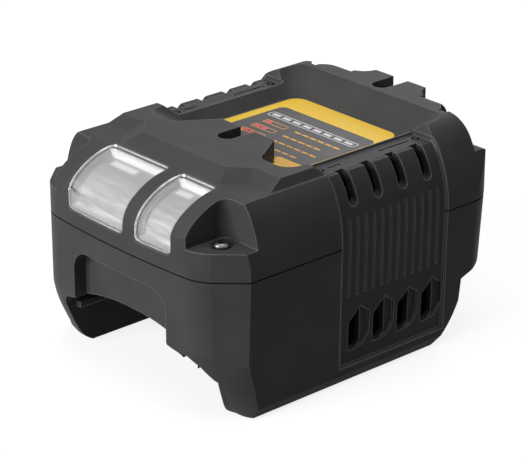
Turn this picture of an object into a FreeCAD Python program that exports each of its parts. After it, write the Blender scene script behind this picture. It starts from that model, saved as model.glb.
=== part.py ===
import FreeCAD, Part

import math
import os

from FreeCAD import Vector

# Battery charger for a slide-on tool battery pack, in millimetres.
# The front (the two lamp windows and the pack's mouth) faces -Y, +X is the right side, +Z is up.
# The origin is the middle of the footprint, on the surface that the charger stands on.

# Outer housing
HALF_WIDTH = 58.3
FRONT_Y = -75.0
REAR_Y = 72.0
SEAM_Z = 58.0
DECK_Z = 89.2
REAR_TOP_Z = 90.2
RIM_Z = 85.5
WALL = 2.5
SEAM_GAP = 0.2
GROOVE_DEPTH = 0.7
GROOVE_WIDTH = 1.2
FRONT_BOW = 1.6
CORNER_START_X = 38.0
CORNER_X = 48.5
CORNER_SET_BACK = 6.0
CORNER_BULGE = (0.7, 0.1)
CORNER_RUN = 16.6
REAR_CORNER_RADIUS = 12.1
REAR_CORNER_GROWTH = 4.4
SHOULDER_Z = 60.0
SHOULDER_SIDE_RADIUS = 45.0
SHOULDER_SIDE_ANGLE = 26.0
REAR_SHOULDER_ANGLE = 30.0
SIDE_DRAFT = 0.9
BOTTOM_CHAMFER_WIDTH = 1.8
BOTTOM_CHAMFER_HEIGHT = 4.0
BROW_Z = 67.5
BROW_RADIUS = 14.0
BROW_ANGLE = 50.0
REAR_TOP_RADIUS = 8.0
LEG_END_Y = 52.8
HEEL_RUN = 14.3
HEEL_HEIGHT = 17.0
HEEL_BULGE = (7.0, 6.2)
OVERHANG_Z = 26.0
OVERHANG_RISE = 9.5

# Toes: height, how far the front, the knee and the side are set back there, and the corner's bulge
TOE_STEPS = (
    (33.0, -0.3, -0.3, -0.3, 0.2),
    (26.0, 0.6, 0.3, 0.2, 0.4),
    (17.0, 4.1, 2.8, 3.6, 1.2),
    (7.0, 8.8, 7.6, 8.4, 2.5),
    (2.8, 12.2, 9.8, 10.4, 3.5),
    (0.9, 15.0, 11.4, 11.2, 4.0),
    (-1.0, 19.5, 14.5, 13.0, 4.0),
)

# Tunnel under the body, which the pack slides into from the front
TUNNEL_HALF_WIDTH = 38.5
TUNNEL_SIDE_Z = 20.0
TUNNEL_TOP_Z = 30.8
TUNNEL_ARCH = ((0.96, 0.32), (0.82, 0.58), (0.42, 0.91))
RAIL_DEPTH = 2.6
RAIL_Z = 17.5
RAIL_HEIGHT = 2.4
RAIL_START_Y = -65.5
RAIL_END_Y = 30.0
LEAD_IN_END_Y = -44.0
LEAD_IN_SPREAD = 0.44
LEAD_IN_TOP = ((26.0, 0.0), (22.7, 5.0), (17.3, 8.7), (8.0, 18.0))
ARCH_HALF_WIDTH = 28.0
ARCH_TOP_Z = 48.5
ARCH_RADIUS = 9.0
ARCH_DEPTH = 7.0

# Raised deck over the front, and its tongue that reaches over the label
DECK_FRONT_Y = -41.0
DECK_SIDE_FRONT_Y = -33.4
DECK_NOSE_HALF = 24.5
DECK_STEP_HALF = 32.5
DECK_HALF_WIDTH = 46.3
DECK_SLOPE_RUN = 7.2
DECK_NOSE_SPREAD = 0.6
DECK_STEP_SPREAD = 0.5
DECK_SIDE_SPREAD = 0.3
DECK_REAR_Y = -12.5
DECK_REAR_RUN = 3.7
TONGUE_BASE_HALF = 26.5
TONGUE_TIP_HALF = 15.5
TONGUE_TIP_Y = -8.6
TONGUE_SLOT_HALF = 4.0
TONGUE_SLOT_END_Y = -23.0

# Label pocket between the rims
POCKET_FLOOR_Z = 81.0
POCKET_FLOOR_HALF = 31.5
POCKET_FLOOR_FRONT_Y = -15.0
POCKET_FLOOR_REAR_Y = 46.0
POCKET_CORNER_RADIUS = 7.0
POCKET_SLOPE = 1.3
REAR_BLOCK_Y = 43.0
REAR_BLOCK_RUN = 3.5
LABEL_THICKNESS = 0.3
LABEL_MARGIN = 1.4
GUIDE_X = 42.3
GUIDE_FRONT_Y = -9.5
GUIDE_SPACING = 51.0
GUIDE_RADIUS = 1.7
GUIDE_LINE_WIDTH = 0.9
GUIDE_DEPTH = 0.35
GUIDE_RING_GAP = 2.0
GUIDE_BLANK = (1.2, 20.9)

# Hook tabs and slots at the rear edge
TAB_REAR_Y = 75.0
TAB_HALF_WIDTH = 14.5
TAB_FLARE = 5.5
TAB_THICKNESS = 5.0
HOOK_SLOT_HALF = 4.1
HOOK_SLOT_FRONT_Y = 60.0
REAR_NOTCH_X = 35.5
REAR_NOTCH_WIDTH = 4.5
REAR_NOTCH_DEPTH = 4.0

# Lamp windows in the front
WINDOW_BOTTOM_Z = 64.4
WINDOW_TOP_Y = -50.5
WIDE_WINDOW = (-30.8, 4.2)
NARROW_WINDOW = (10.4, 31.2)
WINDOW_CORNER_RADIUS = 2.6
LENS_GAP = 0.35
LENS_RECESS = 0.3
LENS_FLANGE = 1.6
LENS_FLANGE_THICKNESS = 1.2
LAMP_BOX_WALL = 1.4
LAMP_BOX_BACK_Y = -51.5
LAMP_BOX_FLOOR_Z = 61.0
LED_SIZE = 4.6
LED_HEIGHT = 1.5

# Corner screws and their pockets
POCKET_X = 39.0
POCKET_BACK_Y = -54.0
SCREW_FLOOR_Z = 69.5
SCREW_POCKET_RADIUS = 4.0
REAR_STEP_X = 35.5
REAR_STEP_Y = 62.3
REAR_STEP_Z = 77.5
REAR_STEP_RADIUS = 6.5
REAR_STEP_FLARE = 5.5
REAR_SCREW_FLOOR_Z = 73.5
FRONT_SCREW = (44.6, -60.6)
REAR_SCREW = (45.0, 66.9)
SCREW_SHANK_RADIUS = 1.75
SCREW_HEAD_RADIUS = 3.4
SCREW_HEAD_HEIGHT = 2.4
SCREW_CROSS_LENGTH = 3.6
SCREW_CROSS_WIDTH = 0.9
SCREW_CROSS_DEPTH = 1.3
SCREW_SHANK_LENGTH = 27.0
COUNTERBORE_RADIUS = 4.5
REAR_COUNTERBORE_RADIUS = 4.0
COUNTERBORE_DEPTH = 0.8
SCREW_CLEARANCE = 0.3
PILOT_CLEARANCE = 0.05
BOSS_RADIUS = 4.0
LEG_FLOOR_Z = 4.0

# Side vent panels
PANEL_STEP = 0.9
PANEL_ZONE = (-12.5, 44.5)
PANEL_EDGE = 1.0
PANEL_BOTTOM_Z = 8.0
PANEL_INNER_X = 46.0
PANEL_GAP = 0.25
PANEL_FLANGE = 2.0
PANEL_FLANGE_THICKNESS = 1.3
PANEL_FLANGE_LOW_X = 50.0
VENT_COUNT = 4
VENT_FIRST_Y = -3.9
VENT_PITCH = 13.15
VENT_WIDTH = 4.6
VENT_BOTTOM_Z = 72.6
RIB_COUNT = 12
RIB_FIRST_Y = -7.4
RIB_PITCH = 4.27
RIB_WIDTH = 1.0
RIB_DEPTH = 0.6
RIB_BOTTOM_Z = 36.4
RIB_TOP_Z = 68.4
LOUVRE_BOTTOM_Z = 13.4
LOUVRE_SLOT_WIDTH = 7.0
LOUVRE_SLOT_LOW_TOP_Z = 25.6
LOUVRE_SLOT_HIGH_TOP_Z = 31.4
LOUVRE_LEDGE_WIDTH = 4.2
LOUVRE_LEDGE_DEPTH = 1.2
LOUVRE_FIRST_Y = -7.4

# Feet
FOOT_X = 47.5
FOOT_Y = (-44.0, 32.0)
FOOT_LENGTH = 13.0
FOOT_WIDTH = 8.0
FOOT_PROUD = 0.6
FOOT_RECESS = 1.0

# Circuit board and what stands on it
BOARD_Z = 39.0
BOARD_THICKNESS = 1.6
BOARD_HALF_WIDTH = 46.0
BOARD_Y = (-46.0, 51.0)
BOARD_SCREW_X = 41.0
BOARD_SCREW_Y = (-41.0, 46.0)
BOARD_SCREW_RADIUS = 1.4
BOARD_SCREW_HEAD_RADIUS = 2.8
BOARD_SCREW_HEAD_HEIGHT = 1.8
BOARD_SCREW_LENGTH = 7.0
BOARD_BOSS_RADIUS = 3.2

CORE_CENTRE = (-8.0, -14.0)
CORE_SIZE = (30.0, 26.0, 24.0)
CORE_DEPTH = 15.0
CORE_LEG = 6.0
COIL_END_GAP = 0.3
COIL_BORE_GAP = 0.15
COIL_CORNER_RADIUS = 3.5
CHOKE_CENTRE = (-23.0, 38.6)
CHOKE_RADIUS = 9.0
CHOKE_HOLE_RADIUS = 4.5
CHOKE_WIDTH = 8.0
CHOKE_TURNS = 9
CHOKE_WIRE = 0.6
MAIN_CAPACITOR = (10.0, 30.0, 9.0, 30.0)
OUTPUT_CAPACITORS = ((22.0, -32.0), (22.0, -20.0), (34.0, -32.0))
OUTPUT_CAPACITOR_RADIUS = 4.0
OUTPUT_CAPACITOR_HEIGHT = 16.0
SINK_PRIMARY = (28.0, 8.0)
SINK_SECONDARY = (34.0, -10.0)
SINK_LENGTH = 14.0
SINK_HEIGHT = 26.0
SINK_BACK = 2.4
SINK_FIN_DEPTH = 8.0
SINK_FIN_THICKNESS = 1.4
SINK_FINS = 6
TRANSISTOR_SIZE = (4.5, 10.0, 15.0)
RECTIFIER_CENTRE = (0.0, 44.0)
RECTIFIER_SIZE = (16.0, 4.0, 12.0)
FUSE_CENTRE = (24.0, 45.0)
FUSE_RADIUS = 2.6
FUSE_LENGTH = 20.0
FUSE_CAP_LENGTH = 5.0
FUSE_CAP_WALL = 0.4

# Cooling fan, which blows across the board from the left side vents
FAN_SIZE = 35.0
FAN_DEPTH = 10.0
FAN_X = -41.0
FAN_Y = 14.0
FAN_BORE_RADIUS = 16.4
FAN_HUB_RADIUS = 7.8
FAN_CUP_WALL = 1.2
FAN_BLADES = 7
FAN_TIP_GAP = 0.7
FAN_BLADE_THICKNESS = 1.0
FAN_BLADE_TWIST = 32.0
FAN_SHAFT_RADIUS = 1.5
FAN_BEARING_RADIUS = 3.0
FAN_BEARING_CLEARANCE = 0.05
FAN_SCREW_SPACING = 29.0
FAN_SCREW_RADIUS = 1.5
FAN_SCREW_HEAD_RADIUS = 2.2
BRACKET_THICKNESS = 0.8

# Terminal block that meets the pack's contacts
BLOCK_Y = (36.0, 48.0)
BLOCK_HALF_WIDTH = 24.0
BLOCK_BOTTOM_Z = 15.0
BLADE_COUNT = 5
BLADE_PITCH = 9.0
BLADE_THICKNESS = 1.0
BLADE_LENGTH = 11.0
BLADE_HEIGHT = 5.0
BLADE_Z = 20.0

# Mains inlet at the rear, and the wall keyholes on each side of it
INLET_Z = 48.0
INLET_HALF_WIDTH = 8.6
INLET_HALF_HEIGHT = 4.8
INLET_DEPTH = 16.0
INLET_WALL = 1.6
INLET_FLANGE = 2.0
INLET_FLANGE_THICKNESS = 1.5
PIN_SPACING = 8.6
PIN_RADIUS = 1.2
PIN_LENGTH = 19.0
KEYHOLE_SPACING = GUIDE_SPACING
KEYHOLE_Z = 44.0
KEYHOLE_HEAD_RADIUS = 4.4
KEYHOLE_SLOT_RADIUS = 2.2
KEYHOLE_RISE = 8.0

# Wires inside the housing
WIRE_RADIUS = 1.1
FAN_WIRE_REACH = 9.0

FAR = 200.0
TOUCH = 0.02


def on_xy(u, v):
    return Vector(u, v, 0)


def on_xz(u, v):
    return Vector(u, 0, v)


def on_yz(u, v):
    return Vector(0, u, v)


def polar(centre, radius, degrees):
    turn = math.radians(degrees)
    return (centre[0] + radius * math.cos(turn), centre[1] + radius * math.sin(turn))


def outline_edges(place, start, steps):
    """Edges of an outline: each step is a line's end, or an arc's middle and end."""
    edges = []
    here = place(*start)
    for step in steps:
        there = place(*step[-1])
        if len(step) == 1:
            edges.append(Part.makeLine(here, there))
        else:
            edges.append(Part.Arc(here, place(*step[0]), there).toShape())
        here = there
    return edges


def face_of(edges):
    return Part.Face(Part.Wire(Part.__sortEdges__(edges)))


def outline_face(place, start, steps):
    return face_of(outline_edges(place, start, steps))


def mirrored_face(place, start, steps):
    """A face whose outline is given for x >= 0 and mirrored to the left."""
    right = Part.Compound(outline_edges(place, start, steps))
    left = right.mirror(Vector(0, 0, 0), Vector(1, 0, 0))
    return face_of(right.Edges + left.Edges)


def polygon(place, points):
    return outline_face(place, points[0], [(p,) for p in points[1:] + points[:1]])


def moved(shape, x=0.0, y=0.0, z=0.0):
    copy = shape.copy()
    copy.translate(Vector(x, y, z))
    return copy


def mirrored(shape):
    return shape.mirror(Vector(0, 0, 0), Vector(1, 0, 0))


def box(x0, x1, y0, y1, z0, z1):
    return Part.makeBox(x1 - x0, y1 - y0, z1 - z0, Vector(x0, y0, z0))


def post(x, y, z0, z1, radius):
    return Part.makeCylinder(radius, z1 - z0, Vector(x, y, z0))


def fused(shapes):
    whole = shapes[0]
    if len(shapes) > 1:
        whole = shapes[0].multiFuse(shapes[1:])
    return whole.removeSplitter()


def both_sides(shape):
    return [shape, mirrored(shape)]


def loft_between(low, high):
    return Part.makeLoft([low.OuterWire, high.OuterWire], True, True)


def plan_face():
    """The housing seen from above: a bowed front, bevelled front corners and round rear corners."""
    bow_end = FRONT_Y + FRONT_BOW
    middle = (CORNER_START_X / 2, FRONT_Y + FRONT_BOW / 4)
    corner = (CORNER_X, FRONT_Y + CORNER_SET_BACK)
    edge = (HALF_WIDTH, FRONT_Y + CORNER_RUN)
    rear_centre = (HALF_WIDTH - REAR_CORNER_RADIUS, REAR_Y - REAR_CORNER_RADIUS)
    return mirrored_face(on_xy, (0, FRONT_Y), [
        (middle, (CORNER_START_X, bow_end)),
        (corner_knee(0.0, 0.0), corner),
        (edge,),
        ((HALF_WIDTH, rear_centre[1]),),
        (polar(rear_centre, REAR_CORNER_RADIUS, 45), (rear_centre[0], REAR_Y)),
        ((0, REAR_Y),),
    ])


def corner_knee(back, knee_back):
    """The middle of the small arc between the bowed front and the front corner's bevel."""
    return (
        (CORNER_START_X + CORNER_X) / 2 + CORNER_BULGE[0],
        FRONT_Y + CORNER_SET_BACK / 2 + CORNER_BULGE[1] + (back + knee_back) / 2,
    )


def toe_outline(z, back, knee_back, side_back, bulge):
    """The front's outline at one height of the toes, drawn past the sides and the rear."""
    past = 2.0
    slope = (CORNER_RUN - CORNER_SET_BACK) / (HALF_WIDTH - CORNER_X)
    corner = (CORNER_X, FRONT_Y + CORNER_SET_BACK + knee_back)
    edge = (HALF_WIDTH + past, FRONT_Y + CORNER_RUN + side_back + past * slope)
    length = math.hypot(edge[0] - corner[0], edge[1] - corner[1])
    bulged = (
        (corner[0] + edge[0]) / 2 + bulge * (edge[1] - corner[1]) / length,
        (corner[1] + edge[1]) / 2 - bulge * (edge[0] - corner[0]) / length,
    )
    return mirrored_face(lambda u, v: Vector(u, v, z), (0, FRONT_Y + back), [
        ((CORNER_START_X / 2, FRONT_Y + FRONT_BOW / 4 + back), (CORNER_START_X, FRONT_Y + FRONT_BOW + back)),
        (corner_knee(back, knee_back), corner),
        (bulged, edge),
        ((edge[0], FAR),),
        ((0, FAR),),
    ])


def toe_cut(distance):
    """What the toes' rounded slope takes off the front, or the same moved in by a distance."""
    wires = [toe_outline(*step).OuterWire for step in TOE_STEPS]
    kept = Part.makeLoft(wires, True, False)
    slab = box(-FAR, FAR, -FAR, 0, TOE_STEPS[-1][0], TOE_STEPS[0][0])
    return moved(slab.cut(kept), y=distance, z=distance / 2)


def rear_corner_cuts(distance):
    """What the wider rounding takes off the rear corners below the shoulders."""
    def outline(z, radius):
        centre = (HALF_WIDTH - radius, REAR_Y - radius)
        return outline_face(lambda u, v: Vector(u, v, z), (HALF_WIDTH, centre[1]), [
            (polar(centre, radius, 45), (centre[0], REAR_Y)),
            ((centre[0], REAR_Y + radius),),
            ((HALF_WIDTH + radius, REAR_Y + radius),),
            ((HALF_WIDTH + radius, centre[1]),),
            ((HALF_WIDTH, centre[1]),),
        ])
    low = outline(OVERHANG_Z, REAR_CORNER_RADIUS + REAR_CORNER_GROWTH)
    high = outline(SHOULDER_Z, REAR_CORNER_RADIUS)
    inwards = -0.8 * distance
    return both_sides(moved(loft_between(low, high), x=inwards, y=inwards))


def section_face(angle=SHOULDER_SIDE_ANGLE):
    """The housing seen from the front: a drafted side that rolls over into the top."""
    side_centre = (HALF_WIDTH - SHOULDER_SIDE_RADIUS, SHOULDER_Z)
    knee = polar(side_centre, SHOULDER_SIDE_RADIUS, angle)
    sine = math.sin(math.radians(angle))
    radius = (REAR_TOP_Z - knee[1]) / (1 - sine)
    top_centre = polar(knee, -radius, angle)
    half_way = (angle + 90) / 2
    foot = HALF_WIDTH - SIDE_DRAFT
    return mirrored_face(on_xz, (0, 0), [
        ((foot - BOTTOM_CHAMFER_WIDTH, 0),),
        ((foot, BOTTOM_CHAMFER_HEIGHT),),
        ((HALF_WIDTH, SHOULDER_Z),),
        (polar(side_centre, SHOULDER_SIDE_RADIUS, angle / 2), knee),
        (polar(top_centre, radius, half_way), (top_centre[0], REAR_TOP_Z)),
        ((0, REAR_TOP_Z),),
    ])


def brow_points():
    """Ends and middles of the two arcs that carry the front face over into the top."""
    lower = (FRONT_Y + BROW_RADIUS, BROW_Z)
    knee = polar(lower, BROW_RADIUS, 180 - BROW_ANGLE)
    sine = math.sin(math.radians(BROW_ANGLE))
    radius = (RIM_Z - knee[1]) / (1 - sine)
    upper = polar(knee, -radius, 180 - BROW_ANGLE)
    upper_middle = polar(upper, radius, (180 - BROW_ANGLE + 90) / 2)
    lower_middle = polar(lower, BROW_RADIUS, 180 - BROW_ANGLE / 2)
    return lower_middle, knee, upper_middle, (upper[0], RIM_Z)


def profile_face():
    """The housing seen from the side, from the brow to the rear block."""
    lower_middle, knee, upper_middle, brow_end = brow_points()
    rear_centre = (REAR_Y - REAR_TOP_RADIUS, REAR_TOP_Z - REAR_TOP_RADIUS)
    heel = (LEG_END_Y, HEEL_HEIGHT)
    heel_middle = (LEG_END_Y - HEEL_BULGE[0], HEEL_BULGE[1])
    return outline_face(on_yz, (FRONT_Y, 0), [
        ((LEG_END_Y - HEEL_RUN, 0),),
        (heel_middle, heel),
        ((LEG_END_Y + 1.0, OVERHANG_Z),),
        ((REAR_Y - OVERHANG_RISE / 2, OVERHANG_Z + OVERHANG_RISE / 2),),
        ((REAR_Y, OVERHANG_Z + OVERHANG_RISE),),
        ((REAR_Y, rear_centre[1]),),
        (polar(rear_centre, REAR_TOP_RADIUS, 45), (rear_centre[0], REAR_TOP_Z)),
        ((REAR_BLOCK_Y + REAR_BLOCK_RUN, REAR_TOP_Z),),
        ((REAR_BLOCK_Y, RIM_Z),),
        (brow_end,),
        (upper_middle, knee),
        (lower_middle, (FRONT_Y, BROW_Z)),
        ((FRONT_Y, 0),),
    ])


def inset(face, distance):
    return face.makeOffset2D(-distance, 1) if distance else face


def body(distance=0.0):
    """The whole housing's outer form, or the same form set in by a distance."""
    across = moved(inset(section_face(), distance), y=-FAR).extrude(Vector(0, 2 * FAR, 0))
    block = moved(inset(section_face(REAR_SHOULDER_ANGLE), distance), y=REAR_BLOCK_Y + distance)
    across = across.fuse(block.extrude(Vector(0, FAR, 0)))
    along = moved(inset(profile_face(), distance), x=-FAR).extrude(Vector(2 * FAR, 0, 0))
    upright = moved(inset(plan_face(), distance), z=-FAR).extrude(Vector(0, 0, 2 * FAR))
    whole = across.common(along).common(upright)
    return whole.cut([toe_cut(distance)] + rear_corner_cuts(distance))


def deck():
    """The raised deck behind the windows, with its sloped front facets."""
    def outline(grow, rear, z):
        return mirrored_face(lambda u, v: Vector(u, v, z), (0, DECK_FRONT_Y - grow), [
            ((DECK_NOSE_HALF + grow * DECK_NOSE_SPREAD, DECK_FRONT_Y - grow),),
            ((DECK_STEP_HALF + grow * DECK_STEP_SPREAD, DECK_SIDE_FRONT_Y - grow),),
            ((DECK_HALF_WIDTH + grow * DECK_SIDE_SPREAD, DECK_SIDE_FRONT_Y - grow),),
            ((DECK_HALF_WIDTH + grow * DECK_SIDE_SPREAD, rear),),
            ((0, rear),),
        ])
    low = outline(DECK_SLOPE_RUN, DECK_REAR_Y, RIM_Z)
    return loft_between(low, outline(0.0, DECK_REAR_Y - DECK_REAR_RUN, DECK_Z))


def pocket_frustum(grow=0.0):
    """The sloped walls round the label, or the same space grown by a wall."""
    def outline(height):
        spread = grow + POCKET_SLOPE * height
        half = POCKET_FLOOR_HALF + spread
        front = POCKET_FLOOR_FRONT_Y - spread
        rear = POCKET_FLOOR_REAR_Y + spread
        radius = POCKET_CORNER_RADIUS + grow / 2
        centre = (half - radius, rear - radius)
        front_centre = (half - radius, front + radius)
        z = POCKET_FLOOR_Z - grow + height
        return mirrored_face(lambda u, v: Vector(u, v, z), (0, front), [
            ((front_centre[0], front),),
            (polar(front_centre, radius, -45), (half, front_centre[1])),
            ((half, centre[1]),),
            (polar(centre, radius, 45), (centre[0], rear)),
            ((0, rear),),
        ])
    return loft_between(outline(0.0), outline(REAR_TOP_Z - POCKET_FLOOR_Z + grow + 2.0))


def tongue(grow=0.0):
    """The tongue that the deck reaches out over the label, with its finger slot."""
    tip = TONGUE_TIP_Y + grow
    base = POCKET_FLOOR_FRONT_Y - POCKET_SLOPE * (DECK_Z - POCKET_FLOOR_Z) - 3.0
    blend = 5.0
    root = POCKET_FLOOR_FRONT_Y - POCKET_SLOPE * (DECK_Z - POCKET_FLOOR_Z)
    plate = mirrored_face(on_xy, (0, base), [
        ((TONGUE_BASE_HALF + blend + grow, base),),
        ((TONGUE_BASE_HALF + blend + grow, root),),
        ((TONGUE_BASE_HALF + grow, root + 0.8), (TONGUE_BASE_HALF - 2.6 + grow, root + 4.0)),
        ((TONGUE_TIP_HALF + grow, tip),),
        ((0, tip),),
    ])
    solid = moved(plate, z=POCKET_FLOOR_Z - 1.0).extrude(Vector(0, 0, DECK_Z - POCKET_FLOOR_Z + 1.0))
    return solid


def tongue_slot(grow=0.0):
    """The slot in the tongue that shows the label, down to the pocket's floor."""
    half = TONGUE_SLOT_HALF + grow
    end = TONGUE_SLOT_END_Y + TONGUE_SLOT_HALF
    z0 = POCKET_FLOOR_Z - grow
    slot = box(-half, half, end, POCKET_FLOOR_REAR_Y, z0, DECK_Z + 5)
    return slot.fuse(post(0, end, z0, DECK_Z + 5, half))


def corner_pocket(grow=0.0):
    """The square-cornered pocket over a front screw, with one round inner corner."""
    x = POCKET_X - grow
    y = POCKET_BACK_Y + grow
    block = box(x, FAR, -FAR, y, SCREW_FLOOR_Z - grow, FAR)
    inner = [
        e for e in block.Edges
        if abs(e.BoundBox.XMax - x) < TOUCH and abs(e.BoundBox.XMin - x) < TOUCH
        and abs(e.BoundBox.YMax - e.BoundBox.YMin) < TOUCH
        and abs(e.BoundBox.YMin - y) < TOUCH
    ]
    return block.makeFillet(SCREW_POCKET_RADIUS, inner)


def rear_step(grow=0.0):
    """The step down at a rear corner, whose lower edge rolls over into the rear wall."""
    y = REAR_STEP_Y - grow
    centre = (REAR_Y - REAR_STEP_RADIUS, REAR_STEP_Z - REAR_STEP_RADIUS)
    radius = REAR_STEP_RADIUS - grow
    profile = outline_face(on_yz, (y, FAR), [
        ((y, REAR_STEP_Z - grow),),
        ((centre[0], REAR_STEP_Z - grow),),
        (polar(centre, radius, 45), (centre[0] + radius, centre[1])),
        ((FAR, centre[1]),),
        ((FAR, FAR),),
        ((y, FAR),),
    ])
    inner = REAR_STEP_X - grow
    plan = polygon(on_xy, [
        (inner, y), (inner - REAR_STEP_FLARE, y + REAR_STEP_FLARE),
        (inner - REAR_STEP_FLARE, FAR), (FAR, FAR), (FAR, y),
    ])
    return profile.extrude(Vector(FAR, 0, 0)).common(plan.extrude(Vector(0, 0, FAR)))


def corner_pockets(grow=0.0):
    return both_sides(corner_pocket(grow)) + both_sides(rear_step(grow))


def hook_slot(grow=0.0):
    """The slot between the two rear tabs, with its round front end."""
    half = HOOK_SLOT_HALF + grow
    end = HOOK_SLOT_FRONT_Y + HOOK_SLOT_HALF
    low = REAR_TOP_Z - TAB_THICKNESS - grow
    return box(-half, half, end, FAR, low, FAR).fuse(post(0, end, low, FAR, half))


def hook_tabs():
    """The two flared tabs that stand out at the rear edge."""
    plate = mirrored_face(on_xy, (0, REAR_Y - 8.0), [
        ((TAB_HALF_WIDTH + TAB_FLARE, REAR_Y - 8.0),),
        ((TAB_HALF_WIDTH + TAB_FLARE, REAR_Y - REAR_TOP_RADIUS / 2),),
        ((TAB_HALF_WIDTH + 1.5, REAR_Y - 1.0), (TAB_HALF_WIDTH, TAB_REAR_Y)),
        ((0, TAB_REAR_Y),),
    ])
    return moved(plate, z=REAR_TOP_Z - TAB_THICKNESS).extrude(Vector(0, 0, TAB_THICKNESS))


def rear_notches(grow=0.0):
    """The two small drops in the rear block's top edge."""
    notch = box(
        REAR_NOTCH_X - grow, REAR_NOTCH_X + REAR_NOTCH_WIDTH + grow,
        REAR_STEP_Y - 2.0 - grow, FAR,
        REAR_TOP_Z - REAR_NOTCH_DEPTH - grow, FAR,
    )
    return both_sides(notch)


def panel_zones():
    low = PANEL_BOTTOM_Z - PANEL_EDGE
    zone = box(PANEL_INNER_X - 8, FAR, PANEL_ZONE[0], PANEL_ZONE[1], low, RIM_Z + 1)
    return both_sides(zone)


def window_tool(window, grow=0.0):
    """The space of one lamp window through the curved front, with round corners."""
    x0, x1 = window[0] - grow, window[1] + grow
    radius = WINDOW_CORNER_RADIUS + grow
    z0 = WINDOW_BOTTOM_Z - grow
    y1 = WINDOW_TOP_Y + grow
    front = outline_face(on_xz, (x0, FAR), [
        ((x0, z0 + radius),),
        (polar((x0 + radius, z0 + radius), radius, 225), (x0 + radius, z0)),
        ((x1 - radius, z0),),
        (polar((x1 - radius, z0 + radius), radius, 315), (x1, z0 + radius)),
        ((x1, FAR),),
        ((x0, FAR),),
    ])
    top = outline_face(on_xy, (x0, -FAR), [
        ((x0, y1 - radius),),
        (polar((x0 + radius, y1 - radius), radius, 135), (x0 + radius, y1)),
        ((x1 - radius, y1),),
        (polar((x1 - radius, y1 - radius), radius, 45), (x1, y1 - radius)),
        ((x1, -FAR),),
        ((x0, -FAR),),
    ])
    along = moved(front, y=-FAR).extrude(Vector(0, 2 * FAR, 0))
    return along.common(top.extrude(Vector(0, 0, FAR)))


def panel_window(grow=0.0):
    return box(
        PANEL_INNER_X - grow, FAR,
        PANEL_ZONE[0] + PANEL_EDGE - grow, PANEL_ZONE[1] - PANEL_EDGE + grow,
        PANEL_BOTTOM_Z - grow, FAR,
    )


def tunnel(grow=0.0):
    """The pack's tunnel under the body, with its shallow arched roof."""
    half = TUNNEL_HALF_WIDTH + grow
    rise = TUNNEL_TOP_Z - TUNNEL_SIDE_Z
    middle, shoulder, roof = [
        (half * out, TUNNEL_SIDE_Z + rise * up + grow) for out, up in TUNNEL_ARCH
    ]
    face = mirrored_face(on_xz, (0, -FAR), [
        ((half, -FAR),),
        ((half, TUNNEL_SIDE_Z),),
        (middle, shoulder),
        (roof, (0, TUNNEL_TOP_Z + grow)),
    ])
    return moved(face, y=-FAR).extrude(Vector(0, 2 * FAR, 0))


def arch(grow=0.0):
    """The recess in the front face above the tunnel's mouth."""
    half = ARCH_HALF_WIDTH + grow
    top = ARCH_TOP_Z + grow
    radius = ARCH_RADIUS + grow
    centre = (half - radius, top - radius)
    face = mirrored_face(on_xz, (0, 0), [
        ((half, 0),),
        ((half, centre[1]),),
        (polar(centre, radius, 45), (centre[0], top)),
        ((0, top),),
    ])
    return moved(face, y=FRONT_Y - 10).extrude(Vector(0, 10 + ARCH_DEPTH + grow, 0))


def rails():
    """The two ledges along the tunnel's walls that the pack runs on."""
    rail = box(
        TUNNEL_HALF_WIDTH - RAIL_DEPTH, TUNNEL_HALF_WIDTH + WALL / 2,
        RAIL_START_Y, RAIL_END_Y, RAIL_Z, RAIL_Z + RAIL_HEIGHT,
    )
    return both_sides(rail)


def lead_in(grow=0.0):
    """The recess in the right leg's inner front edge, which runs out along the tunnel."""
    wall = TUNNEL_HALF_WIDTH
    crown = [(wall + run + grow, z + grow) for z, run in LEAD_IN_TOP]
    front = polygon(on_xz, [(wall - WALL, -1), (crown[-1][0], -1)] + crown[::-1] + [(wall - WALL, crown[0][1])])
    end = LEAD_IN_END_Y + grow
    reach = end - FRONT_Y + WALL
    plan = polygon(on_xy, [
        (wall - WALL, end), (wall + grow / 2, end),
        (wall + grow / 2 + LEAD_IN_SPREAD * reach, end - reach), (wall - WALL, end - reach),
    ])
    along = moved(front, y=-FAR).extrude(Vector(0, 2 * FAR, 0))
    return along.common(moved(plan, z=-1).extrude(Vector(0, 0, FAR)))


def screw_places():
    """Each corner screw's place, with the height of the floor that its head sits on."""
    places = []
    for side in (1, -1):
        places.append((side * FRONT_SCREW[0], FRONT_SCREW[1], SCREW_FLOOR_Z))
        places.append((side * REAR_SCREW[0], REAR_SCREW[1], REAR_SCREW_FLOOR_Z))
    return places


def board_screw_places():
    return [(sx * BOARD_SCREW_X, y) for sx in (1, -1) for y in BOARD_SCREW_Y]


def seam_groove():
    """A shallow groove round the housing where the cover meets the base."""
    ring = body(-1.0).cut(body(GROOVE_DEPTH))
    slab = box(-FAR, FAR, -FAR, FAR, SEAM_Z - GROOVE_WIDTH / 2, SEAM_Z + GROOVE_WIDTH / 2)
    return ring.common(slab)


def outer_form():
    """The closed outer form of the housing, with the steps round the side panels."""
    form = body().fuse(deck()).fuse(hook_tabs())
    stepped = body(PANEL_STEP)
    for zone in panel_zones():
        form = form.cut(zone.cut(stepped))
    return form


def cavity():
    """The space inside the housing's walls, set in further behind the side panels."""
    return body(WALL + PANEL_STEP).fuse(body(WALL).cut(fused(panel_zones())))


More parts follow.
